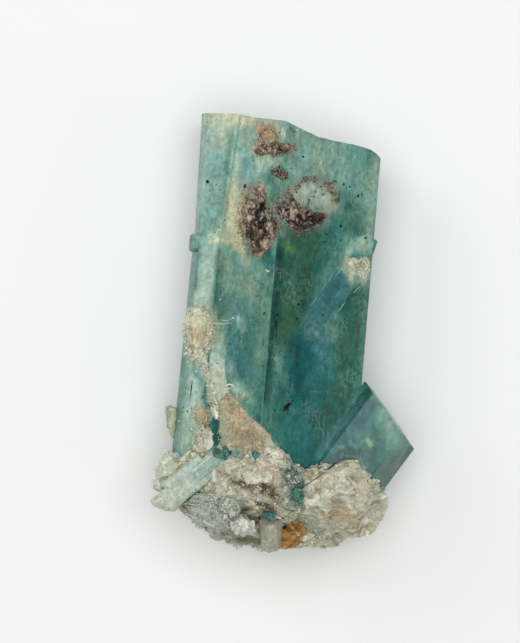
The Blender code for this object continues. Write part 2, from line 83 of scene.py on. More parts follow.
def grainCells(points, size, seed):
    # each point belongs to its nearest grain middle: returns how far it is from the grain's border,
    # the grain's own number from 0 to 1, and the height of the grain's flat, tilted top there
    spot = points / size
    corner = np.floor(spot)
    first = np.full(points.shape[:-1], 9.0)
    second = first.copy()
    owner = np.zeros(points.shape)
    away = np.zeros(points.shape)
    for step in np.ndindex(3, 3, 3):
        cell = corner + np.array(step) - 1
        middle = cell + np.stack([cellNumber(cell, seed + k) for k in (1, 2, 3)], axis=-1)
        gap = spot - middle
        distance = np.sqrt((gap * gap).sum(axis=-1))
        nearer = distance < first
        second = np.where(nearer, first, np.minimum(second, distance))
        first = np.where(nearer, distance, first)
        owner = np.where(nearer[..., None], cell, owner)
        away = np.where(nearer[..., None], gap, away)
    tilt = np.stack([cellNumber(owner, seed + k) - 0.5 for k in (4, 5, 6)], axis=-1)
    number = cellNumber(owner, seed + 7)
    return second - first, number, number + 1.1 * (away * tilt).sum(axis=-1) - 0.5


def lineDistance(flat, path):
    # distance from each point to the nearest stretch of a path
    nearest = np.full(flat.shape[:-1], 1e9)
    path = np.asarray(path, float)
    if len(path) == 1:
        return np.linalg.norm(flat - path[0], axis=-1)
    for a, b in zip(path, path[1:]):
        along = b - a
        share = np.clip(((flat - a) @ along) / (along @ along), 0.0, 1.0)
        nearest = np.minimum(nearest, np.linalg.norm(flat - a - share[..., None] * along, axis=-1))
    return nearest


# meshes
def facesOfGrid(rows, around, closed=True):
    # the four corners of each face of a grid, whose rows are rings if it is closed
    count = around if closed else around - 1
    row, column = np.meshgrid(np.arange(rows - 1), np.arange(count), indexing="ij")
    nextColumn = (column + 1) % around
    quads = [row * around + column, row * around + nextColumn]
    quads += [(row + 1) * around + nextColumn, (row + 1) * around + column]
    return np.stack(quads, axis=-1).reshape(-1, 4)


def closedGridFaces(rows, around):
    # triangles of a grid of rings with a point at each end, the points coming after the rings
    quads = facesOfGrid(rows, around)
    here = np.arange(around)
    following = (here + 1) % around
    first = np.stack([following, here, np.full(around, rows * around)], axis=1)
    last = np.stack([here, following, np.full(around, rows * around + 1)], axis=1)
    last[:, :2] += (rows - 1) * around
    return np.concatenate([quads[:, [0, 1, 2]], quads[:, [0, 2, 3]], first, last])


def signedVolume(points, triangles):
    a, b, c = (points[triangles[:, k]] for k in range(3))
    return np.einsum("ij,ij->i", a, np.cross(b, c)).sum() / 6.0


def ringMesh(name, rings):
    # a closed surface through rings of points, its two ends closed round their middles
    rows, around = rings.shape[:2]
    points = np.concatenate([rings.reshape(-1, 3), rings[:1].mean(axis=1), rings[-1:].mean(axis=1)])
    triangles = closedGridFaces(rows, around)
    if signedVolume(points, triangles) < 0:
        triangles = triangles[:, ::-1]
    return meshObject(name, points, triangles)


def meshObject(name, points, faces):
    mesh = bpy.data.meshes.new(name)
    mesh.from_pydata((points * mm).tolist(), [], faces.tolist())
    mesh.validate()
    made = bpy.data.objects.new(name, mesh)
    bpy.context.scene.collection.objects.link(made)
    return made


def meshPoints(mesh):
    flat = np.zeros(len(mesh.vertices) * 3, np.float32)
    mesh.vertices.foreach_get("co", flat)
    return flat.reshape(-1, 3).astype(float) / mm


def meshNormals(mesh):
    flat = np.zeros(len(mesh.vertices) * 3, np.float32)
    mesh.vertex_normals.foreach_get("vector", flat)
    return flat.reshape(-1, 3).astype(float)


def addTint(mesh, colours):
    # a colour for every point, which the materials take their own from
    layer = mesh.attributes.new("tint", "FLOAT_COLOR", "POINT")
    full = np.ones((len(colours), 4), np.float32)
    full[:, :3] = toLinear(colours.clip(0, 1))
    layer.data.foreach_set("color", full.ravel())


def tintRings(made, colours):
    # the same for a mesh of rings, whose two end points take the first and the last colour
    flat = colours.reshape(-1, 3)
    addTint(made.data, np.concatenate([flat, flat[:1], flat[-1:]]))


def addCloud(mesh, values):
    # how milky the crystal is at every point, from 0 to 1
    layer = mesh.attributes.new("cloud", "FLOAT", "POINT")
    layer.data.foreach_set("value", np.asarray(values, np.float32))


def settleBooleans(piece):
    # the mesh with its modifiers worked in, in place of the one without
    depsgraph = bpy.context.evaluated_depsgraph_get()
    settled = bpy.data.meshes.new_from_object(piece.evaluated_get(depsgraph))
    piece.modifiers.clear()
    piece.data = settled
    return piece


def booleanWith(piece, others, operation):
    for other in others:
        step = piece.modifiers.new(operation.lower(), "BOOLEAN")
        step.operation = operation
        step.solver = "MANIFOLD"
        step.object = other
    settleBooleans(piece)
    for other in others:
        bpy.data.objects.remove(other)
    return piece


def shadeCrisp(piece, degrees):
    piece.data.shade_smooth()
    piece.data.set_sharp_from_angle(angle=radians(degrees))


def putInPlace(piece, material, node):
    piece.data.materials.clear()
    piece.data.materials.append(material)
    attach(piece, "root")
    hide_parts(node)


# colours and shader nodes
def shares(code):
    # red, green and blue as shares of one, from an sRGB hex code
    return np.array([int(code[k : k + 2], 16) for k in (0, 2, 4)]) / 255.0


def toLinear(values):
    # sRGB shares to the linear numbers that shaders take
    return np.where(values <= 0.04045, values / 12.92, ((values + 0.055) / 1.055) ** 2.4)


def rgba(code):
    return (*toLinear(shares(code)), 1.0)


def addNode(tree, kind, settings=None, links=None):
    # settings holds properties and socket values, and links gives sockets their sources. A socket
    # goes by its name, or by its number where several have the same name
    node = tree.nodes.new(kind)
    for name, value in (settings or {}).items():
        if isinstance(name, int) or name in node.inputs:
            node.inputs[name].default_value = value
        else:
            setattr(node, name, value)
    for name, source in (links or {}).items():
        tree.links.new(source, node.inputs[name])
    return node


def newMaterial(name):
    material = bpy.data.materials.new(name)
    material.use_nodes = True
    tree = material.node_tree
    tree.nodes.clear()
    return material, tree


# crystals: one function makes every prism
def sideCounts(corners, spacing):
    # how many points each side of a section gets at that spacing
    corners = np.array(corners, float)
    lengths = np.linalg.norm(np.roll(corners, -1, axis=0) - corners, axis=1)
    return np.maximum(2, np.round(lengths / spacing)).astype(int)


def prismOutline(corners, counts, cut):
    # a section walked round, each corner cut by a short curve and each side given its points.
    # Also gives the distance along the walk and the way out of the side at each point
    corners = np.array(corners, float)
    sides = np.roll(corners, -1, axis=0) - corners
    ahead = sides / np.linalg.norm(sides, axis=1)[:, None]
    outs = np.stack([-ahead[:, 1], ahead[:, 0]], axis=1)
    turned = np.einsum("ij,ij->i", outs, corners - corners.mean(axis=0)) < 0
    outs = np.where(turned[:, None], -outs, outs)
    t = np.linspace(0.0, 1.0, 5)[:-1, None]
    points = []
    ways = []
    for k, count in enumerate(counts):
        here, back = corners[k], ahead[k - 1]
        bend = here - (1 - t) ** 2 * back * cut + t**2 * ahead[k] * cut
        run = here + ahead[k] * cut + np.arange(count)[:, None] / count * (sides[k] - 2 * cut * ahead[k])
        points += [bend, run]
        ways += [(1 - t) * outs[k - 1] + t * outs[k], np.tile(outs[k], (count, 1))]
    points = np.concatenate(points)
    ways = np.concatenate(ways)
    walk = np.concatenate([[0.0], np.cumsum(np.linalg.norm(np.diff(points, axis=0), axis=1))])
    return points, walk, ways / np.linalg.norm(ways, axis=1)[:, None]


def growthSteps(walk, lengthwise, seed, size=0.5, depth=0.06):
    # long terraces as a crystal face has them: noise stretched along the crystal, cut into steps
    # with short slopes between, plus fainter lines
    spots = np.stack([walk, lengthwise, np.full_like(walk, 3.7 * seed)], axis=-1)
    rise = 3.0 * (0.5 + 0.5 * cloudNoise(spots, (4.2 * size, 26.0, 9.0), seed, 2))
    level = np.floor(rise)
    terraces = (level + smoothStep(0.42, 0.58, rise - level)) / 3.0
    lines = softNoise(spots, (size * 0.42, 11.0, 9.0), seed + 5)
    return depth * (0.75 * (1.0 - terraces) + 0.25 * (0.5 - 0.5 * lines))


def crystalPrism(name, shape):
    # a section carried along an axis: the rings keep to the section, blended from the low one to
    # the high one, sunk by the growth steps, and the end rings shrink over a broken or grown end
    start, along, across, up = shape["place"]
    counts = sideCounts(shape["low"], shape["spacing"])
    low, walk, outs = prismOutline(shape["low"], counts, shape["cut"])
    high = prismOutline(shape["high"], counts, shape["cut"])[0]
    rows = shape["rows"]
    share = np.linspace(0.0, 1.0, rows)[:, None, None]
    ring = low * (1 - share) + high * share
    reach = shape["end"](ring[-1])
    lengthwise = share[..., 0] * reach[None, :]
    depth = growthSteps(np.broadcast_to(walk, lengthwise.shape), lengthwise, shape["seed"],
                        depth=shape["depth"])
    ring = ring - outs[None] * depth[..., None]
    rings = [ring]
    heights = [lengthwise]
    middle = ring[-1].mean(axis=0)
    for inward in shape["endShares"]:
        closer = middle + (ring[-1] - middle) * inward
        rings.append(closer[None])
        heights.append(shape["end"](closer)[None])
    flat = np.concatenate(rings)
    height = np.concatenate(heights)
    points = start + flat[..., :1] * across + flat[..., 1:] * up + height[..., None] * along
    return ringMesh(name, points)


def slantPlace(start, end, up):
    # an axis with the two directions square to it, the second as near to up as can be
    start, end, up = Vector(start), Vector(end), Vector(up)
    along = (end - start).normalized()
    across = along.cross(up).normalized()
    return [np.array(v) for v in (start, along, across, across.cross(along))], (end - start).length


uprightPlace = [np.array(v, float) for v in ((0, 0, 0), (0, 1, 0), (1, 0, 0), (0, 0, 1))]

bigCrystal = {
    "section": [(-0.6, 12.0), (8.7, 7.9), (8.35, 3.4), (5.7, 0.0), (-4.9, 0.0), (-7.3, 2.7), (-6.1, 8.2)],
    "spacing": [0.125, 0.28, 0.3, 0.38, 0.38, 0.6, 0.125],
    "rootY": -15.0,
    "topEdge": [(-9.0, 20.2), (-5.1, 20.2), (-2.9, 20.0), (-0.7, 19.8), (0.4, 19.4), (1.3, 19.1),
                (2.5, 18.7), (3.7, 18.55), (6.6, 18.3), (7.6, 18.1), (8.2, 17.8), (8.8, 17.3)],
    "topFall": 0.05,  # how far the broken top drops to the back, for each millimetre
    "edgeCut": 0.1,
    "stepDepth": 0.07,
}


def frontOfBig(x):
    # height of the big crystal's two front faces
    return np.interp(x, [-6.1, -0.6, 8.7], [8.2, 12.0, 7.9])


def brokenTop(flat):
    # the top's upper edge as it shows from the front, dropping to the back in shallow curved steps
    x, z = flat[..., 0], flat[..., 1]
    behind = np.maximum(frontOfBig(x) - z, 0.0)
    spots = np.stack([x, z, np.zeros_like(x)], axis=-1)
    shell = 0.5 + 0.5 * np.sin(1.9 * np.hypot(x + 3.0, z - 9.0) + 2.0 * cloudNoise(spots, 4.0, 31))
    rough = 0.28 * shell + 0.3 * (0.5 + 0.5 * cloudNoise(spots, 2.2, 37, 4))
    edge = np.interp(x, *zip(*bigCrystal["topEdge"])) + 0.05 * cloudNoise(spots, 0.8, 41)
    fall = bigCrystal["topFall"] * behind + rough * smoothStep(0.0, 1.2, behind)
    return edge - 0.04 - fall - bigCrystal["rootY"]


def flatEnd(length, leanAcross=0.0, leanUp=0.0, rough=0.06, seed=51):
    # a grown or cleaved end, leaning by so much for each millimetre, a little uneven
    def reach(flat):
        spots = np.stack([flat[..., 0], flat[..., 1], np.full(flat.shape[:-1], length)], axis=-1)
        uneven = rough * (cloudNoise(spots, 0.9, seed, 3) - 1.0)
        return length + flat[..., 0] * leanAcross + flat[..., 1] * leanUp + uneven

    return reach


sideCrystals = {
    "upperLeft": {
        "from": 7.6, "to": 20.35,
        "low": [(-6.05, 8.5), (-4.6, 7.5), (-4.6, 1.6), (-7.0, 1.3), (-8.3, 3.2), (-8.45, 6.5),
                (-7.9, 7.85)],
        "high": [(-5.1, 9.2), (-4.0, 7.5), (-4.2, 1.8), (-7.2, 1.5), (-8.6, 3.4), (-8.75, 6.6),
                 (-8.1, 8.25)],
    },
    "lowerLeft": {
        "from": -13.0, "to": 8.35,
        "low": [(-6.0, 8.45), (-4.5, 7.4), (-4.5, 1.4), (-7.0, 1.1), (-8.6, 2.9), (-8.92, 6.5),
                (-8.05, 8.25)],
        "high": [(-6.05, 8.5), (-4.5, 7.4), (-4.5, 1.4), (-6.8, 1.1), (-8.3, 2.9), (-8.55, 6.6),
                 (-7.95, 8.3)],
    },
    "shoulder": {
        "from": -7.2, "to": 2.0,
        "low": [(-4.05, 9.62), (-4.3, 8.0), (-6.0, 7.6), (-6.25, 8.6), (-5.9, 9.3)],
        "high": [(-4.75, 9.05), (-4.9, 7.9), (-6.0, 7.2), (-6.15, 7.9), (-5.95, 8.15)],
    },
}
slantCrystals = {
    "upperSlant": {
        "start": (2.6, -0.55, 9.55), "end": (7.72, 8.2, 7.95), "up": (0.4, 0.0, 0.92),
        "section": [(-1.35, 0.9), (0.95, 0.86), (1.05, -0.1), (0.9, -0.9), (-1.1, -0.9), (-1.6, 0.0)],
        "lean": (0.15, -2.2),
    },
    "lowerSlant": {
        "start": (6.0, -16.75, 5.2), "end": (11.96, -7.19, 5.0), "up": (0.0, 0.0, 1.0),
        "section": [(-3.1, 4.65), (1.5, 4.35), (3.6, 0.4), (2.1, -3.7), (-2.6, -3.8), (-4.3, 2.7)],
        "lean": (-0.318, -0.06),
    },
}


ledge = {"middle": (-7.45, 7.85, 6.3), "half": (1.42, 0.92, 1.9), "squareness": 6.0}


def roundedLedge():
    # a lump on the side of the crystals: in every direction it reaches as far as a box whose edges
    # are rounded by a power sum of the three shares
    down, turn = np.meshgrid((np.arange(40) + 0.5) / 40 * np.pi, np.arange(56) / 56 * 2 * np.pi,
                             indexing="ij")
    way = np.stack([np.sin(down) * np.cos(turn), np.sin(down) * np.sin(turn), np.cos(down)], axis=-1)
    power = ledge["squareness"]
    reach = 1.0 / (np.abs(way) ** power).sum(axis=-1) ** (1.0 / power)
    points = np.array(ledge["middle"]) + way * reach[..., None] * np.array(ledge["half"])
    points = points + way * 0.09 * cloudNoise(points, 0.8, 47)[..., None]
    return ringMesh("ledge", points)


def shapeBigCrystal():
    big = bigCrystal
    main = crystalPrism("aquamarineCrystal", {
        "place": [np.array([0, big["rootY"], 0.0]), *uprightPlace[1:]],
        "low": big["section"], "high": big["section"], "spacing": big["spacing"],
        "cut": big["edgeCut"], "rows": 235, "end": brokenTop, "depth": big["stepDepth"], "seed": 11,
        "endShares": np.linspace(0.985, 0.02, 40),
    })
    grown = [roundedLedge()]
    for k, (name, one) in enumerate(sideCrystals.items()):
        length = one["to"] - one["from"]
        grown.append(crystalPrism(name, {
            "place": [np.array([0, one["from"], 0.0]), *uprightPlace[1:]],
            "low": one["low"], "high": one["high"], "spacing": 0.2, "cut": 0.09,
            "rows": int(max(12, length / 0.22)), "end": flatEnd(length, rough=0.08, seed=60 + k),
            "depth": 0.05, "seed": 21 + k, "endShares": np.linspace(0.97, 0.04, 14),
        }))
    for k, (name, one) in enumerate(slantCrystals.items()):
        place, length = slantPlace(one["start"], one["end"], one["up"])
        grown.append(crystalPrism(name, {
            "place": place, "low": one["section"], "high": one["section"],
            "spacing": 0.13 if name == "upperSlant" else 0.24, "cut": 0.07,
            "rows": int(length / 0.16) if name == "upperSlant" else int(length / 0.22),
            "end": flatEnd(length, *one["lean"], rough=0.07, seed=70 + k),
            "depth": 0.04, "seed": 31 + k, "endShares": np.linspace(0.97, 0.04, 18),
        }))
    return booleanWith(main, grown, "UNION")


# colours laid on the crystals, point by point
def ramp(value, codes):
    # a run of colours, evenly spaced from 0 to 1
    stops = np.linspace(0.0, 1.0, len(codes))
    table = np.array([shares(code) for code in codes])
    return np.stack([np.interp(value, stops, table[:, k]) for k in range(3)], axis=-1)


def layWashes(points, colours, washes, facing=1.0, cloud=None):
    # each wash is a soft stroke along its line, its edges pushed in and out by noise: inside the
    # stroke the colour and the milkiness move to the wash's own, as far as its strength says
    facing = np.broadcast_to(facing, len(points))
    for number, (path, half, soft, tone, strength, ragged, *milk) in enumerate(washes.values()):
        away = lineDistance(points[:, :2], path)
        near = np.flatnonzero((away < half + soft + ragged) & (facing > 0.0))
        spots = points[near]
        edge = away[near] + ragged * cloudNoise(spots, (0.45, 1.1, 0.45), 200 + number, 3)
        weight = strength * facing[near] * (1.0 - smoothStep(half - soft, half + soft, edge))
        weight = (weight * (1.0 + 0.14 * cloudNoise(spots, (0.2, 0.5, 0.2), 300 + number, 2))).clip(0, 1)
        colours[near] += (shares(berylTones.get(tone, tone)) - colours[near]) * weight[:, None]
        if milk:
            cloud[near] += (milk[0] - cloud[near]) * weight


berylTones = {
    "paleCream": "CBCDB0", "cream": "BDBF9E", "tan": "BC9C78", "stain": "8E7F68", "greyStain": "A2A492",
    "white": "D2E0D6", "milk": "C0D0BE", "veilGrey": "929C8C", "paleGreen": "9EBAA6", "greyGreen": "8BAE9D",
    "paleBlue": "84AEA8", "paleMist": "9BBAAB", "lightMist": "A8C6B8",
    "seaGreen": "73A090", "blueVeil": "5F8E90", "teal": "4C887C", "deepTeal": "266C62", "lowTeal": "2F7670",
    "slate": "437E80", "deepSlate": "30666A",
    "green": "376A58", "olive": "4B6748", "leafGreen": "386E58", "darkGreen": "1F5040",
    "ridgeDark": "063F38", "blueTeal": "1A6464",
    "blueHeart": "065A5A", "spring": "86A44E",
}
# line, half width, softness, tone, strength, raggedness, milkiness
crystalWashes = {
    "outer": {
        "upper left face": ([(-7.4, 19.9), (-7.3, 15.0), (-7.3, 9.0)], 1.3, 0.35, "lightMist", 1, 0.1, 0.5),
        "cream haze at the top": ([(-8.6, 18.9), (-7.2, 17.6), (-6.4, 18.6)],
                                  0.8, 1.0, "milk", 0.6, 0.6, 0.6),
        "pale left margin": ([(-8.5, 19.6), (-8.3, 15.6), (-8.2, 11.3)], 0.2, 0.35, "milk", 0.75, 0.2, 0.6),
        "dark right margin": ([(-5.6, 18.4), (-5.8, 14.3), (-6.0, 9.6)],
                              0.22, 0.35, "seaGreen", 1, 0.15, 0.35),
        "blue middle": ([(-6.8, 16.2), (-6.9, 12.4)], 0.5, 0.8, "paleBlue", 0.7, 0.4, 0.4),
        "green foot": ([(-6.9, 11.2), (-7.0, 9.0)], 0.9, 0.8, "greyGreen", 0.8, 0.4, 0.4),
        "pale strip": ([(-7.1, 8.2), (-7.0, 5.0), (-7.0, 1.2)], 0.75, 0.2, "paleMist", 1, 0.15, 0.7),
        "white in the strip": ([(-6.9, 6.2), (-7.2, 4.9), (-7.0, 3.6)], 0.15, 0.4, "milk", 0.5, 0.4, 0.8),
        "far side": ([(-8.5, 8.0), (-8.7, 4.0), (-8.6, -3.0)], 0.3, 0.25, "greyGreen", 0.9, 0.1, 0.4),
        "lower left crystal": ([(-7.8, -5.9), (-7.4, -9.0), (-7.6, -11.1)],
                               1.25, 0.3, "greyGreen", 1, 0.12, 0.45),
        "pale in the lower left": ([(-7.9, -3.4), (-7.2, -6.6), (-7.5, -8.8)],
                                   0.4, 0.6, "milk", 0.65, 0.5, 0.6),
        "pale end": ([(-7.6, -10.3), (-7.1, -11.3)], 0.7, 0.7, "paleGreen", 0.85, 0.35, 0.6),
    },
    "left": {
        "upper face": ([(-2.9, 20.0), (-3.1, 15.2), (-3.5, 8.7)], 2.6, 1.2, "paleMist", 0.9, 0.6, 0.45),
        "middle": ([(-2.8, 7.2), (-2.9, 2.0)], 2.6, 1.2, "seaGreen", 1, 0.7, 0.35),
        "low": ([(-2.2, -0.5), (-1.2, -5.6)], 2.2, 0.8, "teal", 0.8, 0.6, 0.3),
        "cream haze": ([(-4.7, 12.8), (-4.5, 10.6), (-4.5, 8.6)], 0.85, 0.8, "cream", 0.95, 0.6, 0.85),
        "tan by the grains": ([(-4.3, 12.0), (-4.2, 10.4)], 0.16, 0.4, "tan", 0.7, 0.35, 0.9),
        "cream below": ([(-4.6, 8.1), (-3.5, 7.1), (-3.2, 6.0)], 0.35, 0.5, "cream", 0.7, 0.5, 0.8),
        "stained ground": ([(-3.0, 12.9), (-2.8, 11.0), (-1.6, 9.8), (-2.4, 7.8)],
                           0.9, 0.7, "stain", 0.8, 0.6, 0.8),
        "teal under brown": ([(-1.3, 7.6), (-0.9, 6.4), (-1.0, 5.4)], 0.4, 0.5, "deepTeal", 0.85, 0.35, 0.2),
        "teal wash low": ([(-2.6, -5.4), (-1.6, -7.2)], 0.6, 0.8, "seaGreen", 0.6, 0.5, 0.4),
        "beige top": ([(-4.6, 19.7), (-2.8, 19.6), (-1.4, 19.3)], 0.45, 0.5, "cream", 0.75, 0.4, 0.8),
        "tan top": ([(-2.7, 18.9), (-1.8, 18.5)], 0.55, 0.8, "tan", 0.95, 0.7, 0.9),
        "stain top": ([(-3.2, 17.1), (-1.0, 17.2), (0.2, 17.3)], 0.3, 0.4, "stain", 0.75, 0.35, 0.7),
        "white by the tan": ([(-0.9, 18.7), (-0.5, 18.3)], 0.3, 0.4, "white", 0.9, 0.45, 0.8),
        "beige below the tan": ([(-3.8, 17.6), (-3.2, 16.5), (-2.4, 15.9)],
                                0.35, 0.5, "cream", 0.65, 0.4, 0.8),
        "blue streak": ([(-3.9, 15.9), (-3.7, 14.4), (-3.4, 13.6)], 0.4, 0.4, "paleBlue", 0.85, 0.25, 0.3),
        "line in the blue": ([(-3.8, 15.4), (-3.8, 14.4), (-3.6, 13.6)], 0.03, 0.1, "milk", 0.8, 0.05, 0.6),
        "pale by the blue": ([(-2.8, 16.2), (-2.7, 15.1)], 0.22, 0.3, "milk", 0.7, 0.25, 0.6),
        "teal between grains": ([(-1.7, 14.5), (-1.1, 13.3), (-1.4, 12.4)],
                                0.5, 0.5, "teal", 0.85, 0.25, 0.3),
        "shade by the strip": ([(-5.95, 7.3), (-5.9, 4.6), (-5.95, 2.6)],
                               0.05, 0.16, "teal", 0.8, 0.06, 0.3),
        "pale upper left": ([(-5.2, 6.4), (-4.8, 4.2)], 0.5, 0.6, "greyGreen", 0.8, 0.4, 0.5),
        "brownish": ([(-2.9, 4.6), (-2.2, 2.8)], 0.5, 0.7, "greyStain", 0.35, 0.5, 0.4),
        "blue": ([(-4.6, 3.1), (-3.7, 1.2)], 0.45, 0.6, "blueVeil", 0.7, 0.4, 0.3),
        "white blob": ([(-3.5, 1.1), (-3.1, 0.0)], 0.2, 0.4, "milk", 0.75, 0.5, 0.8),
        "teal by the ridge": ([(-1.4, 6.9), (-1.0, 3.4)], 0.35, 0.5, "deepTeal", 0.7, 0.35, 0.2),
        "blue teal": ([(-2.2, 0.2), (-1.9, -2.4)], 0.7, 0.7, "teal", 0.8, 0.4, 0.2),
        "shoulder, upper": ([(-5.5, -1.6), (-5.3, -3.0)], 0.75, 0.4, "milk", 0.7, 0.3, 0.7),
        "milky shoulder": ([(-5.4, -3.3), (-5.2, -4.5), (-4.8, -6.0)], 0.85, 0.1, "milk", 1, 0.06, 0.75),
        "above the shoulder": ([(-5.5, 0.4), (-5.2, -1.0)], 0.4, 0.5, "paleGreen", 0.7, 0.6, 0.7),
        "teal by the shoulder": ([(-3.9, -0.9), (-3.7, -2.6), (-3.5, -3.9)],
                                 0.5, 0.3, "slate", 0.6, 0.15, 0.2),
        "pale foot": ([(-3.9, -3.9), (-3.2, -5.4), (-2.4, -6.0)], 0.5, 0.8, "milk", 0.65, 0.8, 0.5),
        "pale by the ridge": ([(-1.3, 5.6), (-1.2, 2.0), (-1.3, -1.6), (-1.6, -5.4)],
                              0.45, 0.5, "seaGreen", 0.85, 0.4, 0.4),
        "teal in the low face": ([(-3.6, -0.6), (-3.2, -2.6), (-2.9, -4.0)],
                                 0.5, 0.7, "slate", 0.6, 0.5, 0.3),
        "fringe": ([(-4.7, -6.1), (-3.6, -5.8), (-2.5, -6.1)], 0.3, 0.5, "milk", 0.6, 0.35, 0.7),
    },
    "right": {
        "upper face": ([(0.8, 18.9), (4.1, 16.5), (6.3, 13.5)], 2.6, 1.2, "greyGreen", 0.75, 0.6, 0.4),
        "green": ([(2.2, 8.9), (1.3, 3.9), (1.3, -0.2)], 1.9, 0.9, "green", 1, 0.5, 0.15),
        "far side": ([(7.4, 3.5), (7.2, -2.4)], 1.5, 1, "green", 0.9, 0.6, 0.2),
        "deep blue": ([(3.7, -1.4), (3.0, -5.9)], 1.7, 1.1, "blueTeal", 1, 0.6, 0.1),
        "low": ([(3.9, -5.6), (3.4, -8.4), (3.6, -12.0)], 2.6, 1.1, "lowTeal", 0.9, 0.6, 0.2),
        "low right": ([(6.9, -5.3), (5.4, -8.3)], 1.2, 0.9, "green", 0.8, 0.6, 0.2),
        "blue top": ([(3.6, 17.1), (4.5, 15.6), (5.6, 14.4)], 0.8, 0.9, "paleBlue", 0.55, 0.5, 0.35),
        "flecks at the top": ([(3.1, 16.8), (2.8, 15.9), (3.4, 15.4)], 0.08, 0.25, "white", 0.65, 0.25, 0.6),
        "pale line at the top": ([(0.8, 17.0), (1.0, 15.1)], 0.05, 0.2, "milk", 0.6, 0.12, 0.5),
        "right edge, upper": ([(8.3, 17.4), (8.1, 13.7), (8.2, 9.8)], 0.4, 0.5, "paleMist", 0.85, 0.25, 0.5),
        "veil of the grains": ([(1.5, 13.1), (2.8, 13.1), (4.1, 12.9)], 1.3, 0.5, "veilGrey", 1, 0.35, 0.95),
        "white in the veil": ([(1.4, 13.9), (2.6, 13.8), (3.4, 13.2)], 0.4, 0.6, "milk", 0.65, 0.7, 0.9),
        "stained ground": ([(0.0, 11.4), (1.2, 10.6), (2.8, 10.6), (3.6, 11.4)],
                           0.7, 0.5, "stain", 0.85, 0.5, 0.8),
        "stained crown": ([(0.9, 14.0), (2.0, 14.5)], 0.3, 0.5, "stain", 0.6, 0.7, 0.8),
        "stained end": ([(3.7, 14.2), (4.6, 13.4), (4.8, 12.8)], 0.34, 0.5, "stain", 0.75, 0.6, 0.8),
        "green by the grains": ([(5.4, 13.5), (5.9, 12.4)], 0.5, 0.6, "teal", 0.8, 0.5, 0.3),
        "under the grains": ([(6.2, 12.3), (6.6, 10.6)], 0.8, 0.8, "green", 0.75, 0.5, 0.25),
        "dark green": ([(4.9, 11.0), (4.3, 8.6), (3.4, 6.4)], 0.6, 0.6, "deepTeal", 0.7, 0.4, 0.15),
        "teal under the grains": ([(-0.3, 8.6), (-0.4, 6.6)], 0.3, 0.5, "deepTeal", 0.9, 0.3, 0.15),
        "olive ground": ([(0.8, 8.9), (1.5, 7.9)], 0.55, 0.6, "olive", 0.5, 0.5, 0.3),
        "spring green spot": ([(0.4, 8.1), (0.8, 7.8)], 0.12, 0.5, "spring", 0.75, 0.4, 0.5),
        "ridge shade": ([(-0.3, 7.6), (-0.1, 4.4), (-0.2, 1.4)], 0.3, 0.6, "ridgeDark", 1, 0.3, 0.1),
        "ridge shade, low": ([(-0.2, 0.3), (-0.3, -1.7), (-0.5, -6.2)],
                             0.25, 0.6, "ridgeDark", 0.85, 0.3, 0.15),
        "olive": ([(1.3, 4.4), (1.1, 1.5), (0.9, 0.0)], 0.35, 0.7, "olive", 0.6, 0.6, 0.2),
        "leaf green": ([(1.1, 4.6), (1.8, 2.6), (1.9, 0.8)], 0.5, 0.7, "leafGreen", 0.7, 0.6, 0.2),
        "dark green streaks": ([(2.3, 5.9), (2.3, 2.6)], 0.35, 0.5, "darkGreen", 0.8, 0.4, 0.1),
        "slant, head": ([(7.7, 9.0), (6.9, 8.0)], 0.9, 0.35, "paleMist", 1, 0.3, 0.7),
        "slant, white head": ([(7.2, 9.3), (8.0, 9.0)], 0.16, 0.4, "milk", 0.8, 0.4, 0.8),
        "slant, upper": ([(7.2, 7.0), (6.3, 5.6)], 1.15, 0.3, "slate", 0.9, 0.2, 0.4),
        "slant, middle": ([(6.2, 5.3), (5.1, 3.7), (4.0, 2.0)], 1.1, 0.25, "slate", 0.95, 0.15, 0.35),
        "slant, blue": ([(5.9, 6.3), (5.3, 4.8), (4.6, 3.4)], 0.35, 0.5, "deepSlate", 0.6, 0.5, 0.2),
        "slant, pale middle": ([(6.6, 5.4), (5.6, 4.0)], 0.2, 0.5, "blueVeil", 0.3, 0.8, 0.4),
        "slant, low": ([(3.7, 1.7), (3.2, 0.3)], 0.8, 0.6, "slate", 0.85, 0.35, 0.3),
        # painted highlight: a thin pale line along the upper slant's left edge, where it catches the light
        "slant, painted highlight on the left edge": ([(6.0, 7.6), (4.5, 5.0), (3.1, 2.7)], 0.05, 0.1, "paleBlue", 0.8, 0.05, 0.5),
        # painted shadow: a dark strip on the face along the right of the upper slant, which stands above it
        "slant, dark side": ([(8.1, 6.0), (7.0, 4.2), (6.2, 2.9)], 0.1, 0.2, "ridgeDark", 0.7, 0.1, 0.1),
        "cloud below the slant": ([(3.6, 1.0), (4.3, -0.6), (4.9, -2.2)],
                                  0.8, 0.9, "blueVeil", 0.5, 0.95, 0.4),
        "wisps in the cloud": ([(3.5, 0.6), (4.5, -0.4), (3.8, -1.4), (4.9, -1.6)],
                               0.07, 0.3, "paleBlue", 0.6, 0.5, 0.5),
        "wisps by the ridge": ([(0.8, 4.9), (1.6, 4.1), (1.0, 3.3), (1.7, 2.9)],
                               0.06, 0.25, "paleBlue", 0.6, 0.5, 0.5),
        "right margin": ([(8.4, 4.9), (8.4, 1.0), (8.4, -3.0)], 0.2, 0.4, "seaGreen", 0.6, 0.2, 0.3),
        "dark right patch": ([(6.6, 2.6), (7.2, 0.4)], 0.4, 0.6, "deepTeal", 0.75, 0.4, 0.1),
        "pale in the dark": ([(0.9, -2.0), (1.2, -4.1)], 0.25, 0.6, "seaGreen", 0.4, 0.7, 0.4),
        "blue heart": ([(2.3, -1.2), (2.3, -2.8), (2.6, -5.6)], 0.5, 1.0, "blueHeart", 1, 0.5, 0.05),
        "veil by the heart": ([(4.4, -1.9), (4.1, -4.4)], 0.4, 0.7, "slate", 0.7, 0.5, 0.25),
        "slate foot": ([(1.8, -8.6), (3.6, -9.6)], 0.7, 0.9, "slate", 0.55, 0.6, 0.25),
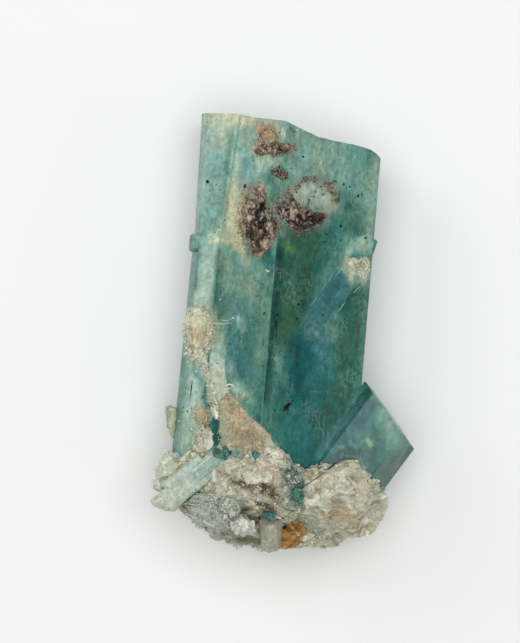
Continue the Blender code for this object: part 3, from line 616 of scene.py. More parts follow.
        # painted highlight: a thin pale line along the lower slant's edge
        "lower slant, painted edge highlight": ([(8.3, -6.4), (6.1, -9.7), (5.0, -11.8)],
                              0.06, 0.15, "paleBlue", 0.7, 0.1, 0.5),
        "lower slant, blue": ([(9.2, -6.2), (8.2, -8.2), (7.0, -9.8)], 0.8, 0.5, "deepSlate", 0.9, 0.3, 0.2),
        "lower slant, band": ([(7.4, -7.6), (6.2, -9.6), (5.2, -11.4)],
                              0.35, 0.4, "blueVeil", 0.7, 0.3, 0.4),
        "lower slant, foot": ([(7.9, -10.6), (6.6, -11.9), (5.2, -13.2)],
                              0.9, 0.5, "blueHeart", 1, 0.35, 0.05),
        "flecks on the foot": ([(7.0, -10.4), (8.0, -9.8), (8.6, -10.2)],
                               0.14, 0.3, "paleBlue", 0.7, 0.6, 0.6),
        "lower slant, etched": ([(7.9, -8.7), (9.0, -9.4)], 0.3, 0.8, "greyGreen", 0.45, 0.9, 0.5),
        "lower slant, end": ([(10.9, -7.0), (11.6, -8.2), (12.4, -9.4)],
                             0.7, 0.8, "greyGreen", 0.9, 0.4, 0.6),
        "cream flecks": ([(9.1, -9.6), (9.6, -9.3), (9.9, -9.7)], 0.08, 0.3, "paleCream", 0.6, 0.8, 0.9),
        "pale line across": ([(3.8, -5.3), (5.2, -5.2), (6.3, -5.3)],
                             0.02, 0.07, "paleBlue", 0.7, 0.03, 0.5),
    },
    "over": {
        "cream root": ([(-8.7, 20.2), (-6.9, 20.0), (-5.2, 19.9)], 0.8, 0.9, "paleCream", 0.9, 0.5, 0.8),
        "veil on the joint": ([(-4.9, 19.7), (-4.9, 17.7), (-5.1, 15.5), (-5.2, 13.1)],
                              0.34, 0.5, "milk", 0.85, 0.3, 0.8),
        "veil, lower part": ([(-5.2, 13.8), (-5.2, 11.2), (-5.5, 9.5), (-6.2, 8.2)],
                             0.4, 0.6, "paleCream", 0.8, 0.5, 0.85),
        "cream spur": ([(-7.0, 8.1), (-6.1, 8.3), (-4.9, 8.1)], 0.14, 0.3, "paleCream", 0.85, 0.3, 0.9),
        "grey green top edge": ([(-1.3, 19.5), (0.6, 18.9), (2.1, 18.4)],
                                0.2, 0.4, "greyGreen", 0.8, 0.25, 0.5),
        "white above the knot": ([(-7.6, 3.2), (-7.9, 2.2), (-7.4, 1.6)],
                                 0.25, 0.4, "paleCream", 0.8, 0.4, 0.9),
        "haze round the knot": ([(-6.4, 1.2), (-5.9, 0.2), (-6.0, -1.2), (-6.6, -2.4)],
                                0.5, 0.6, "cream", 0.85, 0.6, 0.9),
        "haze under the knot": ([(-8.2, -2.2), (-7.4, -3.2), (-6.9, -3.6)],
                                0.45, 0.5, "paleCream", 0.75, 0.6, 0.9),
        "cream along the crust": ([(-6.9, -3.2), (-6.1, -4.8), (-5.5, -6.4), (-5.2, -8.3)],
                                  0.36, 0.5, "paleCream", 0.85, 0.35, 0.85),
        "milk right of the crust": ([(-5.6, -5.0), (-4.9, -6.6)], 0.35, 0.5, "milk", 0.7, 0.4, 0.8),
        "haze right of the fan": ([(-3.4, -6.5), (-1.9, -8.0), (-0.6, -9.7), (1.1, -10.8)],
                                  0.2, 0.45, "milk", 0.7, 0.5, 0.8),
        "cream round the cream patch": ([(6.2, 7.6), (6.0, 6.4), (7.0, 5.4), (8.2, 5.8)],
                                        0.3, 0.5, "cream", 0.85, 0.5, 0.85),
        "cream patch ground": ([(7.0, 6.6), (7.8, 6.8)], 0.8, 0.4, "paleCream", 0.9, 0.4, 0.9),
        "tan round its patch": ([(-6.5, -8.0), (-6.1, -8.6), (-6.2, -9.2)],
                                0.6, 0.6, "cream", 0.85, 0.6, 0.85),
        "tan in its patch": ([(-6.4, -8.3), (-6.0, -8.9)], 0.28, 0.5, "tan", 0.7, 0.5, 0.85),
        "dark slit": ([(-5.0, -8.1), (-4.85, -9.6), (-4.75, -10.6)], 0.26, 0.12, "deepTeal", 0.9, 0.08, 0.1),
    },
}


def paintCrystal(mesh):
    # the sides and the back take a run from deep to pale by long streaks of noise. The front takes
    # the washes, in groups that end sharply at the edges between the crystals and at the ridge.
    # Streaks along the crystal and mottles run over all of it
    points = meshPoints(mesh)
    normals = meshNormals(mesh)
    x, y = points[:, 0], points[:, 1]
    streaks = cloudNoise(points, (1.5, 11.0, 1.5), 71, 4)
    mottle = cloudNoise(points, (0.9, 1.8, 0.9), 81, 3)
    tone = 0.52 + 0.55 * streaks + 0.16 * mottle + 0.012 * (y - 2.0)
    # painted shade: the tone darkens towards +x, where the right faces lie turned away from the light
    tone -= 0.12 * smoothStep(-2.0, 8.0, x)
    colours = ramp(tone.clip(0, 1), ["1E6258", "3E7C72", "5E9486", "7FA898", "A0BCA8"])
    cloud = (0.25 + 0.3 * streaks).clip(0.05, 0.6)
    sideVeils = smoothStep(0.2, 0.55, cloudNoise(points, (2.2, 4.5, 2.2), 73, 4))
    colours += (shares(berylTones["milk"]) - colours) * (0.45 * sideVeils)[:, None]
    rusty = smoothStep(0.15, 0.5, cloudNoise(points, (1.6, 2.4, 1.6), 77, 4)) * smoothStep(-3.0, -12.0, y)
    colours += (shares(berylTones["stain"]) - colours) * (0.5 * rusty)[:, None]
    cloud += 0.4 * sideVeils + 0.3 * rusty
    facing = smoothStep(0.2, 0.55, normals[:, 2]) * smoothStep(4.5, 6.0, points[:, 2])
    joint = np.interp(y, [-16.0, 8.35, 20.1], [-6.03, -6.03, -5.13])
    outer = smoothStep(0.06, -0.06, x - joint)
    right = smoothStep(-0.05, 0.05, np.where(y > -14.5, x + 0.6, 1.0))
    parts = {"outer": outer, "left": (1.0 - outer) * (1.0 - right), "right": right, "over": 1.0}
    for name, part in parts.items():
        layWashes(points, colours, crystalWashes[name], facing * part, cloud)
    lines = softNoise(points, (0.2, 7.0, 0.2), 91) * 0.5 + softNoise(points, (0.5, 12.0, 0.5), 92)
    patchy = cloudNoise(points, (0.7, 1.1, 0.7), 97, 3)
    bluish = cloudNoise(points, (1.3, 2.2, 1.3), 99, 3)
    colours *= (1.0 + 0.04 * lines + 0.12 * patchy)[:, None]
    colours *= 1.0 - bluish[:, None] * np.array([0.14, 0.0, -0.05])
    grey = colours.mean(axis=1, keepdims=True)
    colours = 1.015 * (grey + 1.1 * (colours - grey))
    addTint(mesh, colours)
    addCloud(mesh, cloud.clip(0, 1))


berylNoises = {  # how many to a millimetre along each axis, detail, roughness
    "mottles": ((2.6, 1.9, 2.6), 6.0, 0.62),
    "streaks": ((5.2, 0.33, 5.2), 3.0, 0.5),
    "rusty": ((1.5, 1.1, 1.5), 5.0, 0.6),
    "folds": ((1.5, 0.9, 1.5), 6.0, 0.7),
    "veiled": ((0.42, 0.3, 0.42), 2.0, 0.5),
    "specked": ((0.9, 0.7, 0.9), 1.0, 0.5),
    "pitted": ((4.2, 3.0, 4.2), 3.0, 0.5),
}


def berylMaterial(name, roughness=(0.13, 0.42), seeThrough=(0.4, 0.06), pits=0.012, veils=0.3):
    # beryl, as grown and a little etched: clear in its depths and milky where veils run through it,
    # so the gloss breaks up over the milk, and fine lines along the crystal catch the light. Mottles
    # about 0.3 mm wide, a net of fine white veils and small olive specks lie in its colour
    material, tree = newMaterial(name)
    place = addNode(tree, "ShaderNodeTexCoord").outputs["Object"]
    tint = addNode(tree, "ShaderNodeAttribute", {"attribute_name": "tint"}).outputs["Color"]
    cloud = addNode(tree, "ShaderNodeAttribute", {"attribute_name": "cloud"}).outputs["Fac"]
    dots = addNode(tree, "ShaderNodeTexVoronoi", {"Scale": 2400.0}, {"Vector": place}).outputs["Distance"]
    values = {"cloud": cloud, "dots": dots}
    for each, (perMm, detail, rough) in berylNoises.items():
        stretched = addNode(tree, "ShaderNodeMapping", {"Scale": [k / mm for k in perMm]}, {"Vector": place})
        made = addNode(tree, "ShaderNodeTexNoise", {"Scale": 1.0, "Detail": detail, "Roughness": rough},
                       {"Vector": stretched.outputs[0]})
        values[each] = made.outputs["Fac"]
    lean = addNode(tree, "ShaderNodeMath", {"operation": "SUBTRACT", 1: 0.5}, {0: values["folds"]})
    values["fold"] = addNode(tree, "ShaderNodeMath", {"operation": "ABSOLUTE"}, {0: lean.outputs[0]}).outputs[0]
    runs = {  # which value, its run, and the run it is turned into
        "light": ("mottles", 0.3, 0.7, 0.67, 1.33),
        "lined": ("streaks", 0.3, 0.7, 0.93, 1.07),
        "rust": ("rusty", 0.54, 0.72, 0.0, 0.3),
        "net": ("fold", 0.0, 0.035, veils, 0.0),
        "netPlace": ("veiled", 0.48, 0.64, 0.0, 1.0),
        "speck": ("dots", 0.1, 0.22, 1.0, 0.0),
        "speckPlace": ("specked", 0.55, 0.62, 0.0, 0.75),
        "rough": ("cloud", 0.0, 1.0, *roughness),
        "clear": ("cloud", 0.0, 1.0, *seeThrough),
    }
    for each, (source, low, high, first, last) in runs.items():
        limits = {"From Min": low, "From Max": high, "To Min": first, "To Max": last}
        values[each] = addNode(tree, "ShaderNodeMapRange", limits, {"Value": values[source]}).outputs[0]
    for each, first, second in (("shade", "light", "lined"), ("netHere", "net", "netPlace"),
                                ("speckHere", "speck", "speckPlace")):
        both = addNode(tree, "ShaderNodeMath", {"operation": "MULTIPLY"}, {0: values[first], 1: values[second]})
        values[each] = both.outputs[0]
    coloured = addNode(tree, "ShaderNodeVectorMath", {"operation": "SCALE"},
                       {"Vector": tint, "Scale": values["shade"]}).outputs[0]
    for each, code in (("rust", "54664A"), ("netHere", "C6DCD2"), ("speckHere", "1F3B30")):
        mixed = addNode(tree, "ShaderNodeMix", {"data_type": "RGBA", 7: rgba(code)},
                        {0: values[each], 6: coloured})
        coloured = mixed.outputs[2]
    lined = addNode(tree, "ShaderNodeBump", {"Strength": 1.0, "Distance": 0.00001},
                    {"Height": values["streaks"]})
    etched = addNode(tree, "ShaderNodeBump", {"Strength": 1.0, "Distance": pits * mm},
                     {"Height": values["pitted"], "Normal": lined.outputs[0]})
    shader = addNode(tree, "ShaderNodeBsdfPrincipled", {
        "IOR": 1.577, "Specular IOR Level": 0.19, "Subsurface Weight": 0.2,
        "Subsurface Radius": (0.5, 0.9, 0.9), "Subsurface Scale": 0.0006,
    }, {"Base Color": coloured, "Roughness": values["rough"], "Transmission Weight": values["clear"],
        "Normal": etched.outputs[0]})
    depth = addNode(tree, "ShaderNodeVolumeAbsorption", {"Color": rgba("A9D6D2"), "Density": 60.0})
    addNode(tree, "ShaderNodeOutputMaterial", None, {"Surface": shader.outputs[0], "Volume": depth.outputs[0]})
    return material


crystal = shapeBigCrystal()
shadeCrisp(crystal, 28)
paintCrystal(crystal.data)
beryl = berylMaterial("berylAsGrown")
putInPlace(crystal, beryl, "aquamarine_crystal")
print("crystals grown together,", len(crystal.data.polygons), "faces")


# where things lie: height of the crystals' front, and outlines read from a middle
def faceHeight(x, y):
    height = frontOfBig(x)
    left = np.interp(x, [-8.8, -8.0, -6.05, -4.5], [6.6, 8.27, 8.47, 7.4])
    upper = np.interp(x, [-8.6, -8.0, -5.6, -4.3], [6.6, 8.0, 8.85, 7.5])
    shoulder = np.interp(x, [-6.2, -5.9, -4.3], [8.55, 9.15, 9.47]) - 0.12 * (y + 5.0).clip(0)
    height = np.maximum(height, np.where(y < sideCrystals["lowerLeft"]["to"], left, 0.0))
    height = np.maximum(height, np.where(y > sideCrystals["upperLeft"]["from"], upper, 0.0))
    height = np.maximum(height, np.where((y > -7.2) & (y < 1.8) & (x > -6.2) & (x < -4.2), shoulder, 0.0))
    (startX, startY, _), (endX, endY, _) = (slantCrystals["upperSlant"][k] for k in ("start", "end"))
    share = (y - startY) / (endY - startY)
    off = (x - (startX + (endX - startX) * share + 0.36)) * 0.86
    slant = frontOfBig(x) + np.interp(share, [0, 1], [0.05, 0.42])
    return np.where((share > 0) & (share < 1.02) & (np.abs(off) < 1.3), np.maximum(height, slant), height)


def reachOf(outline, middle, turns):
    # how far the outline lies from its middle in each direction
    arms = np.asarray(outline, float) - middle
    angles = np.arctan2(arms[:, 1], arms[:, 0])
    order = np.argsort(angles)
    return np.interp(turns, angles[order], np.hypot(*arms.T)[order], period=2 * np.pi)


# grains: the same small stone, turned and stretched many times
def cutReach(directions, normals, distances, sharp):
    # distance from a stone's middle to its surface: the nearest of the planes it is cut by, with
    # the edges between them rounded by a soft minimum
    facing = np.maximum(directions @ np.asarray(normals).T / distances, 0.0)
    return 1.0 / (((facing**sharp).sum(axis=-1) + 1e-5) ** (1.0 / sharp))


def directionGrid(rows, around):
    # rings of directions from just off one pole to just off the other
    down, turn = np.meshgrid(np.linspace(0.5, rows - 0.5, rows) / rows * np.pi,
                             np.arange(around) / around * 2 * np.pi, indexing="ij")
    return np.stack([np.sin(down) * np.cos(turn), np.sin(down) * np.sin(turn), np.cos(down)], axis=-1)


def randomTurns(count, chance):
    # evenly random turns, from random quaternions
    q = chance.normal(size=(count, 4))
    w, x, y, z = (q / np.linalg.norm(q, axis=1)[:, None]).T
    return np.stack([1 - 2 * (y * y + z * z), 2 * (x * y - z * w), 2 * (x * z + y * w),
                     2 * (x * y + z * w), 1 - 2 * (x * x + z * z), 2 * (y * z - x * w),
                     2 * (x * z - y * w), 2 * (y * z + x * w), 1 - 2 * (x * x + y * y)],
                     axis=1).reshape(-1, 3, 3)


def manyOfOne(name, points, faces, colours):
    # the same faces for every small shape, and one colour for each
    if signedVolume(points[0], faces) < 0:
        faces = faces[:, ::-1]
    count, each = points.shape[:2]
    joined = faces[None] + (np.arange(count) * each)[:, None, None]
    made = meshObject(name, points.reshape(-1, 3), joined.reshape(-1, 3))
    addTint(made.data, np.repeat(colours, each, axis=0))
    return made


def needles(name, starts, ends, thick, colours):
    # spindles of six sides, thin at both ends, each along its own line
    along = ends - starts
    ahead = along / np.linalg.norm(along, axis=1)[:, None]
    square = np.cross(ahead, np.array([0.2, 0.1, 1.0]))
    square /= np.linalg.norm(square, axis=1)[:, None]
    third = np.cross(square, ahead)
    share = np.array([0.03, 0.25, 0.55, 0.85, 0.98])
    wide = np.array([0.5, 1.0, 1.0, 0.7, 0.2])[None, :, None] * np.asarray(thick)[:, None, None]
    turns = np.arange(6) / 6 * 2 * np.pi
    ring = np.cos(turns)[None, :, None] * square[:, None] + np.sin(turns)[None, :, None] * third[:, None]
    points = starts[:, None, None] + share[None, :, None, None] * along[:, None, None]
    points = points + wide[..., None] * ring[:, None]
    tips = np.stack([starts, ends], axis=1)
    return manyOfOne(name, np.concatenate([points.reshape(len(starts), -1, 3), tips], axis=1),
                     closedGridFaces(5, 6), colours)


def looseGrains(name, middles, sizes, colours, seed, flat=0.75):
    # every grain is one of eight small angular stones, each a grid of directions cut by its own
    # planes. It is stretched, turned and put in its place, and all are one mesh
    chance = np.random.default_rng(seed)
    grid = directionGrid(4, 6)
    kinds = []
    for _ in range(8):
        normals = chance.normal(size=(9, 3))
        normals /= np.linalg.norm(normals, axis=1)[:, None]
        stone = grid * cutReach(grid, normals, chance.uniform(0.7, 1.0, 9), 24)[..., None].clip(0, 1.5)
        kinds.append(np.concatenate([stone.reshape(-1, 3), stone[:1].mean(axis=1), stone[-1:].mean(axis=1)]))
    kinds = np.array(kinds)
    count = len(middles)
    stretch = chance.uniform(flat, 1.25, (count, 3)) * np.asarray(sizes)[:, None]
    points = kinds[chance.integers(0, 8, count)] * stretch[:, None, :]
    points = np.einsum("nij,npj->npi", randomTurns(count, chance), points) + np.asarray(middles)[:, None, :]
    return manyOfOne(name, points, closedGridFaces(4, 6), colours)


def pickFrom(palette, numbers):
    picked = (numbers * len(palette)).astype(int).clip(0, len(palette) - 1)
    return np.array([shares(code) for code in palette])[picked]


def spotsAlong(path, count, spread, chance):
    # places picked along a path, each moved off it by chance
    path = np.array(path)
    along = chance.uniform(0, len(path) - 1.001, count)
    part = (along % 1.0)[:, None]
    spots = path[along.astype(int)] * (1 - part) + path[along.astype(int) + 1] * part
    return spots + chance.normal(0, spread, (count, 2))


def grainsAlong(name, lines, palette, seed, heightOf, material, node):
    # grains scattered round lines, closest together on the line: each line has its path, its half
    # width, a count and the smallest and largest grain
    chance = np.random.default_rng(seed)
    flat = []
    size = []
    for path, wide, count, least, most in lines:
        flat.append(spotsAlong(path, count, wide * 0.5, chance))
        size.append(least + (most - least) * chance.random(count) ** 2)
    flat = np.concatenate(flat)
    size = np.concatenate(size)
    high = heightOf(*flat.T)
    spots = np.column_stack([flat, high + size * chance.uniform(-0.2, 0.5, len(size))])
    tints = pickFrom(palette, chance.random(len(size))) * chance.uniform(0.88, 1.05, (len(size), 1))
    on = high > 1.0
    spots, size, tints = spots[on], size[on], tints[on]
    putInPlace(looseGrains(name, spots, size, tints, seed + 1), material, node)


# materials of the stones
def stoneMaterial(name, roughness, grain, relief, seeThrough=0.0, soft=0.0, ior=1.53, glitter=0.25,
                  specular=0.5):
    # colour from the mesh, broken up by its own grain: flat little cleavages at every angle, some
    # glossier than others, so that it glitters a little, with fine pits between
    material, tree = newMaterial(name)
    place = addNode(tree, "ShaderNodeTexCoord").outputs["Object"]
    tint = addNode(tree, "ShaderNodeAttribute", {"attribute_name": "tint"}).outputs["Color"]
    cells = addNode(tree, "ShaderNodeTexVoronoi", {"Scale": 1.0 / (grain * mm)}, {"Vector": place})
    pits = addNode(tree, "ShaderNodeTexNoise", {"Scale": 2.5 / (grain * mm), "Detail": 3.0}, {"Vector": place})
    number = addNode(tree, "ShaderNodeSeparateColor", None, {"Color": cells.outputs["Color"]})
    shade = addNode(tree, "ShaderNodeMapRange", {"To Min": 0.84, "To Max": 1.13},
                    {"Value": number.outputs["Red"]})
    fleck = addNode(tree, "ShaderNodeMapRange",
                    {"From Min": 0.3, "From Max": 0.7, "To Min": 0.9, "To Max": 1.1},
                    {"Value": pits.outputs["Fac"]})
    both = addNode(tree, "ShaderNodeMath", {"operation": "MULTIPLY"},
                   {0: shade.outputs[0], 1: fleck.outputs[0]})
    coloured = addNode(tree, "ShaderNodeVectorMath", {"operation": "SCALE"},
                       {"Vector": tint, "Scale": both.outputs[0]})
    rough = addNode(tree, "ShaderNodeMapRange", {"To Min": roughness - glitter, "To Max": roughness},
                    {"Value": number.outputs["Green"]})
    cleaved = addNode(tree, "ShaderNodeBump", {"Strength": 1.0, "Distance": relief * mm},
                      {"Height": number.outputs["Blue"]})
    pitted = addNode(tree, "ShaderNodeBump", {"Strength": 1.0, "Distance": 0.5 * relief * mm},
                     {"Height": pits.outputs["Fac"], "Normal": cleaved.outputs[0]})
    shader = addNode(tree, "ShaderNodeBsdfPrincipled", {
        "IOR": ior, "Transmission Weight": seeThrough, "Specular IOR Level": specular,
        "Subsurface Weight": soft, "Subsurface Radius": (1.0, 0.9, 0.75), "Subsurface Scale": 0.0004,
    }, {"Base Color": coloured.outputs[0], "Roughness": rough.outputs[0], "Normal": pitted.outputs[0]})
    addNode(tree, "ShaderNodeOutputMaterial", None, {"Surface": shader.outputs[0]})
    return material


# feldspar, broken along its cleavage: dull, with a glint where a flat face turns to the light
feldsparBroken = stoneMaterial("feldsparBroken", 0.75, 0.16, 0.03, soft=0.1)
# weathered grains with a rusty skin: dull and dark, their edges rubbed paler
grainsStained = stoneMaterial("ironStainedGrains", 0.7, 0.12, 0.03, specular=0.3)
# quartz, broken in shells: glassy and a little see-through, so light softens its edges
quartzBroken = stoneMaterial("quartzBroken", 0.4, 0.35, 0.015, seeThrough=0.12, soft=0.4, ior=1.544)
# mica, split into leaves: a silky gloss that changes from leaf to leaf
micaLeaves = stoneMaterial("micaLeaves", 0.5, 0.3, 0.01, soft=0.1, ior=1.58, glitter=0.3)
# tourmaline, grown as tiny needles and grains: ink black with hardly a glint
tourmalineSpecks = stoneMaterial("blackTourmaline", 0.4, 0.1, 0.01, ior=1.63, specular=0.2)
# beryl, freshly chipped: the bright white of a small break, on the scratches. The same white makes the glints,
# painted highlights
paleScratchesAndGlints = stoneMaterial("freshScratchesAndPaintedGlints", 0.35, 0.1, 0.01, soft=0.2, ior=1.577)


# patches of grains set into the faces
def grainPatch(name, patch):
    # a lens between a domed top and a bottom under the face. Its rings follow the outline, and
    # grains stand out of the top by their own heights, painted shade in the gaps between them and painted light
    # on the higher grains
    outline = np.array(patch["outline"], float)
    middle = outline.mean(axis=0)
    turns = np.linspace(-np.pi, np.pi, 220, endpoint=False)
    arms = np.stack([np.cos(turns), np.sin(turns)], axis=1) * reachOf(outline, middle, turns)[:, None]
    arms *= 1.06 + 0.13 * cloudNoise(np.stack([*(middle + arms).T, np.zeros(220)], axis=1),
                                     0.5, 401, 3)[:, None]
    across = np.sin(0.5 * np.pi * np.linspace(0.02, 1.0, 64))[:, None]
    over = middle + arms[None] * across[..., None]
    top = faceHeight(over[..., 0], over[..., 1]) - 0.05
    dome = patch["rise"] * (1.0 - across**4) - patch.get("sink", 0.12) * across**3
    spots = np.concatenate([over, top[..., None]], axis=-1)
    warped = spots + 0.26 * np.stack([cloudNoise(spots, 0.4, patch["seed"] + k) for k in range(3)], axis=-1)
    gap, number, height = grainCells(warped, patch["grain"], patch["seed"])
    smallGap, smallNumber, smallHeight = grainCells(warped, patch["grain"] * 0.45, patch["seed"] + 20)
    fine = cloudNoise(spots, patch["grain"] * 0.3, patch["seed"] + 9, 3)
    cluster = cloudNoise(spots, 0.8, patch["seed"] + 13, 3)
    relief = patch["relief"] * ((0.25 + 0.6 * height) * smoothStep(0.0, 0.25, gap) + 0.4 * smallHeight
                                + 0.7 * cluster)
    top = top + dome + (relief + 0.06 * fine) * (1.0 - across**12)
    rings = np.concatenate([over, top[..., None]], axis=-1)
    crack = patch.get("crack", 0.16)
    # painted shade in the crevices between the grains, and painted light where grains and clusters stand higher
    crevice = (1.0 - smoothStep(0.1 * crack, crack, gap)) * smoothStep(-0.1, 0.3, 0.4 * fine - cluster)
    smallCrevice = (1.0 - smoothStep(0.0, 0.2, smallGap)) * smoothStep(0.0, 0.4, fine - 0.5 * cluster)
    shade = 0.98 - 0.84 * crevice - 0.5 * smallCrevice + 0.22 * smallHeight + 0.14 * height
    shade = shade + 0.5 * cluster + 0.22 * fine
    shade = 1.0 + (shade - 1.0) * (1.0 - patch.get("soft", 0.0))
    colours = ramp((0.3 * number + 0.7 * smallNumber + 0.2 * cluster).clip(0, 1), patch["palette"])
    colours = colours * shade.clip(0.12, 1.35)[..., None]
    colours = colours + (shares(patch["rim"])
                         - colours) * (0.75 * smoothStep(0.72, 1.0, across + 0.25 * fine))[..., None]
    under = middle + arms[None] * across[::-6][1:, :, None]
    sunk = faceHeight(under[..., 0], under[..., 1]) - 0.7 * np.sqrt(1.0 - across[::-6][1:] ** 2) - 0.05
    flatColours = colours.reshape(-1, 3)
    layWashes(rings.reshape(-1, 3), flatColours, patch.get("washes", {}))
    made = ringMesh(name, np.concatenate([rings, np.concatenate([under, sunk[..., None]], axis=-1)]))
    full = np.full((len(made.data.vertices), 3), shares(patch["palette"][0]))
    full[: len(flatColours)] = flatColours
    full[-2] = flatColours[:220].mean(axis=0)
    addTint(made.data, full)
    shadeCrisp(made, 40)
    return made


brownWashes = {
    "tan head": ([(-2.6, 18.6), (-1.9, 18.5)], 0.4, 0.6, "BB9A74", 0.4, 0.5),
    "peach rim": ([(-3.5, 18.5), (-2.8, 19.1), (-2.0, 19.1)], 0.12, 0.3, "C3A582", 0.8, 0.2),
    "pale end": ([(-1.2, 18.6), (-0.7, 18.2)], 0.3, 0.4, "A9B3A0", 0.8, 0.2),
}
patches = {
    "grainsTopTan": {
        "outline": [(-3.1, 18.3), (-2.9, 18.9), (-2.3, 19.1), (-1.6, 18.9), (-1.2, 18.4), (-1.4, 17.9),
                    (-1.6, 17.4), (-2.5, 17.5), (-3.2, 17.7)],
        "rise": 0.0, "relief": 0.2, "grain": 0.34, "seed": 501, "rim": "BCA280", "node": "brown_grains_top",
        "palette": ["7E6A50", "A48E72", "B8A285", "988368"], "washes": brownWashes,
    },
    "grainsTopBrown": {
        "outline": [(-3.6, 16.9), (-3.2, 17.35), (-2.5, 17.6), (-1.8, 17.6), (-1.1, 17.5), (-0.21, 17.64),
                    (0.71, 17.45), (0.3, 17.1), (-0.5, 16.7), (-1.29, 16.6), (-2.0, 16.7), (-3.1, 16.4)],
        "rise": 0.14, "relief": 0.3, "grain": 0.36, "seed": 511, "rim": "8A7B66", "node": "brown_grains_top",
        "palette": ["1C1611", "5C4B3A", "907B68", "AA9682", "A4927E", "483A2E"],
    },
    "grainsSmall": {
        "outline": [(-1.8, 15.17), (-1.31, 15.38), (-0.51, 15.03), (0.16, 14.72), (-0.32, 14.28),
                    (-0.99, 14.62)],
        "rise": 0.1, "relief": 0.26, "grain": 0.32, "seed": 521, "rim": "6F6A58", "node": "brown_grains_top",
        "palette": ["1C1814", "56453A", "927A68", "A89480", "3A2F27"],
    },
    "grainsLeft": {
        "outline": [(-3.6, 13.3), (-2.98, 13.77), (-2.32, 13.6), (-1.94, 12.91), (-1.9, 11.9), (-1.3, 11.45),
                    (-0.95, 10.76), (-0.5, 10.1), (-0.3, 9.2), (-1.1, 8.6), (-1.5, 7.8), (-1.9, 7.0),
                    (-2.54, 7.06), (-3.26, 7.93), (-3.85, 8.67), (-4.05, 9.57), (-3.9, 10.49),
                    (-4.15, 11.38),
                    (-4.0, 12.5)],
        "rise": 0.24, "relief": 0.5, "grain": 0.85, "seed": 531, "crack": 0.2, "rim": "A39077",
        "node": "brown_grains_left",
        "palette": ["120E0C", "463A2F", "8A7768", "B09D8C", "C0AE9C", "9C8978", "5A4B3F", "1C1613"],
        # the dark washes are painted shade in the seams and hollows between the grains, at their feet and on
        # their side away from the light
        "washes": {"grey top": ([(-3.1, 12.9), (-2.8, 12.0)], 0.45, 0.4, "A39A86", 0.6, 0.3),
                   "tan side": ([(-4.0, 11.6), (-3.9, 10.0)], 0.25, 0.35, "B29A76", 0.7, 0.25),
                   "dark seam": ([(-2.2, 11.8), (-2.7, 10.8), (-2.3, 9.9), (-1.7, 9.4)],
                                 0.12, 0.22, "1B1411", 0.9, 0.25),
                   "dark fork": ([(-2.5, 10.5), (-3.2, 10.0), (-3.0, 9.2)], 0.1, 0.2, "211815", 0.85, 0.2),
                   "dark heart": ([(-2.7, 9.3), (-2.3, 8.8)], 0.24, 0.3, "2A211C", 0.85, 0.5),
                   "tan low side": ([(-3.8, 9.4), (-3.6, 8.4)], 0.25, 0.4, "AB9474", 0.6, 0.4),
                   "dark foot": ([(-2.4, 8.4), (-2.1, 7.5)], 0.18, 0.25, "2A1F1B", 0.75, 0.25),
                   "dark side": ([(-1.0, 10.6), (-0.8, 9.6)], 0.2, 0.4, "2A241D", 0.7, 0.3)},
    },
    "grainsRight": {
        "outline": [(-1.3, 11.9), (-0.6, 12.7), (0.4, 13.1), (0.9, 12.3), (1.4, 11.8), (2.3, 11.55),
                    (3.2, 11.5), (3.9, 11.6), (3.9, 11.1), (3.2, 10.3), (2.15, 9.65), (1.12, 9.48),
                    (0.44, 9.86), (-0.12, 10.45), (-0.9, 10.9)],
        "rise": 0.2, "relief": 0.42, "grain": 0.66, "seed": 541, "crack": 0.2, "rim": "8C826F",
        "node": "brown_grains_right",
        "palette": ["1B1613", "50433B", "8E7E70", "AE9F90", "A69686", "584B43", "241D19"],
        # the dark washes are painted shade at the foot of the grains and in their hollows
        "washes": {"dark foot": ([(1.1, 10.0), (2.2, 10.2), (3.5, 10.9)], 0.22, 0.3, "30221F", 0.8, 0.25),
                   "plum foot": ([(2.5, 10.3), (3.6, 11.1)], 0.18, 0.25, "2B1A20", 0.85, 0.2),
                   "pale left": ([(-0.8, 11.9), (0.2, 12.3)], 0.3, 0.4, "A99C88", 0.6, 0.3),
                   "dark spot": ([(1.2, 11.0), (1.4, 10.8)], 0.14, 0.2, "17120F", 0.9, 0.3),
                   "dark end": ([(2.7, 11.0), (3.4, 11.4)], 0.2, 0.3, "221819", 0.8, 0.4)},
    },
    "creamPatch": {
        "outline": [(6.3, 7.3), (6.8, 7.6), (7.3, 7.4), (7.8, 7.75), (8.3, 7.6), (8.4, 6.8), (8.2, 6.1),
                    (7.7, 5.75),
                    (7.1, 5.7), (6.7, 6.1), (6.4, 6.6)],
        "rise": 0.16, "relief": 0.22, "grain": 0.42, "seed": 551, "sink": 0.06, "rim": "CDCFB4", "soft": 0.75,
        "node": "cream_patch", "palette": ["CFCDB0", "DDDCC4", "E6E6D3", "D8D6BC", "E2E1CB"],
        "washes": {"hole": ([(7.5, 7.1), (7.7, 6.9)], 0.09, 0.15, "6E7A5E", 0.8, 0.15)},
    },
    "tanPatch": {
        "outline": [(-6.95, -8.0), (-6.3, -7.55), (-5.75, -7.8), (-5.65, -8.6), (-5.7, -9.3), (-6.1, -9.6),
                    (-6.6, -9.1), (-7.05, -8.5)],
        "rise": 0.02, "relief": 0.16, "grain": 0.26, "seed": 561, "sink": 0.1, "rim": "B9B594", "soft": 0.5,
        "node": "tan_patch", "palette": ["A89C7C", "BCB292", "C6BEA0", "B2A888", "CCC5A8", "8E8466"],
    },
}
for name, patch in patches.items():
    brown = patch["node"].startswith("brown")
    putInPlace(grainPatch(name, patch), grainsStained if brown else feldsparBroken, patch["node"])
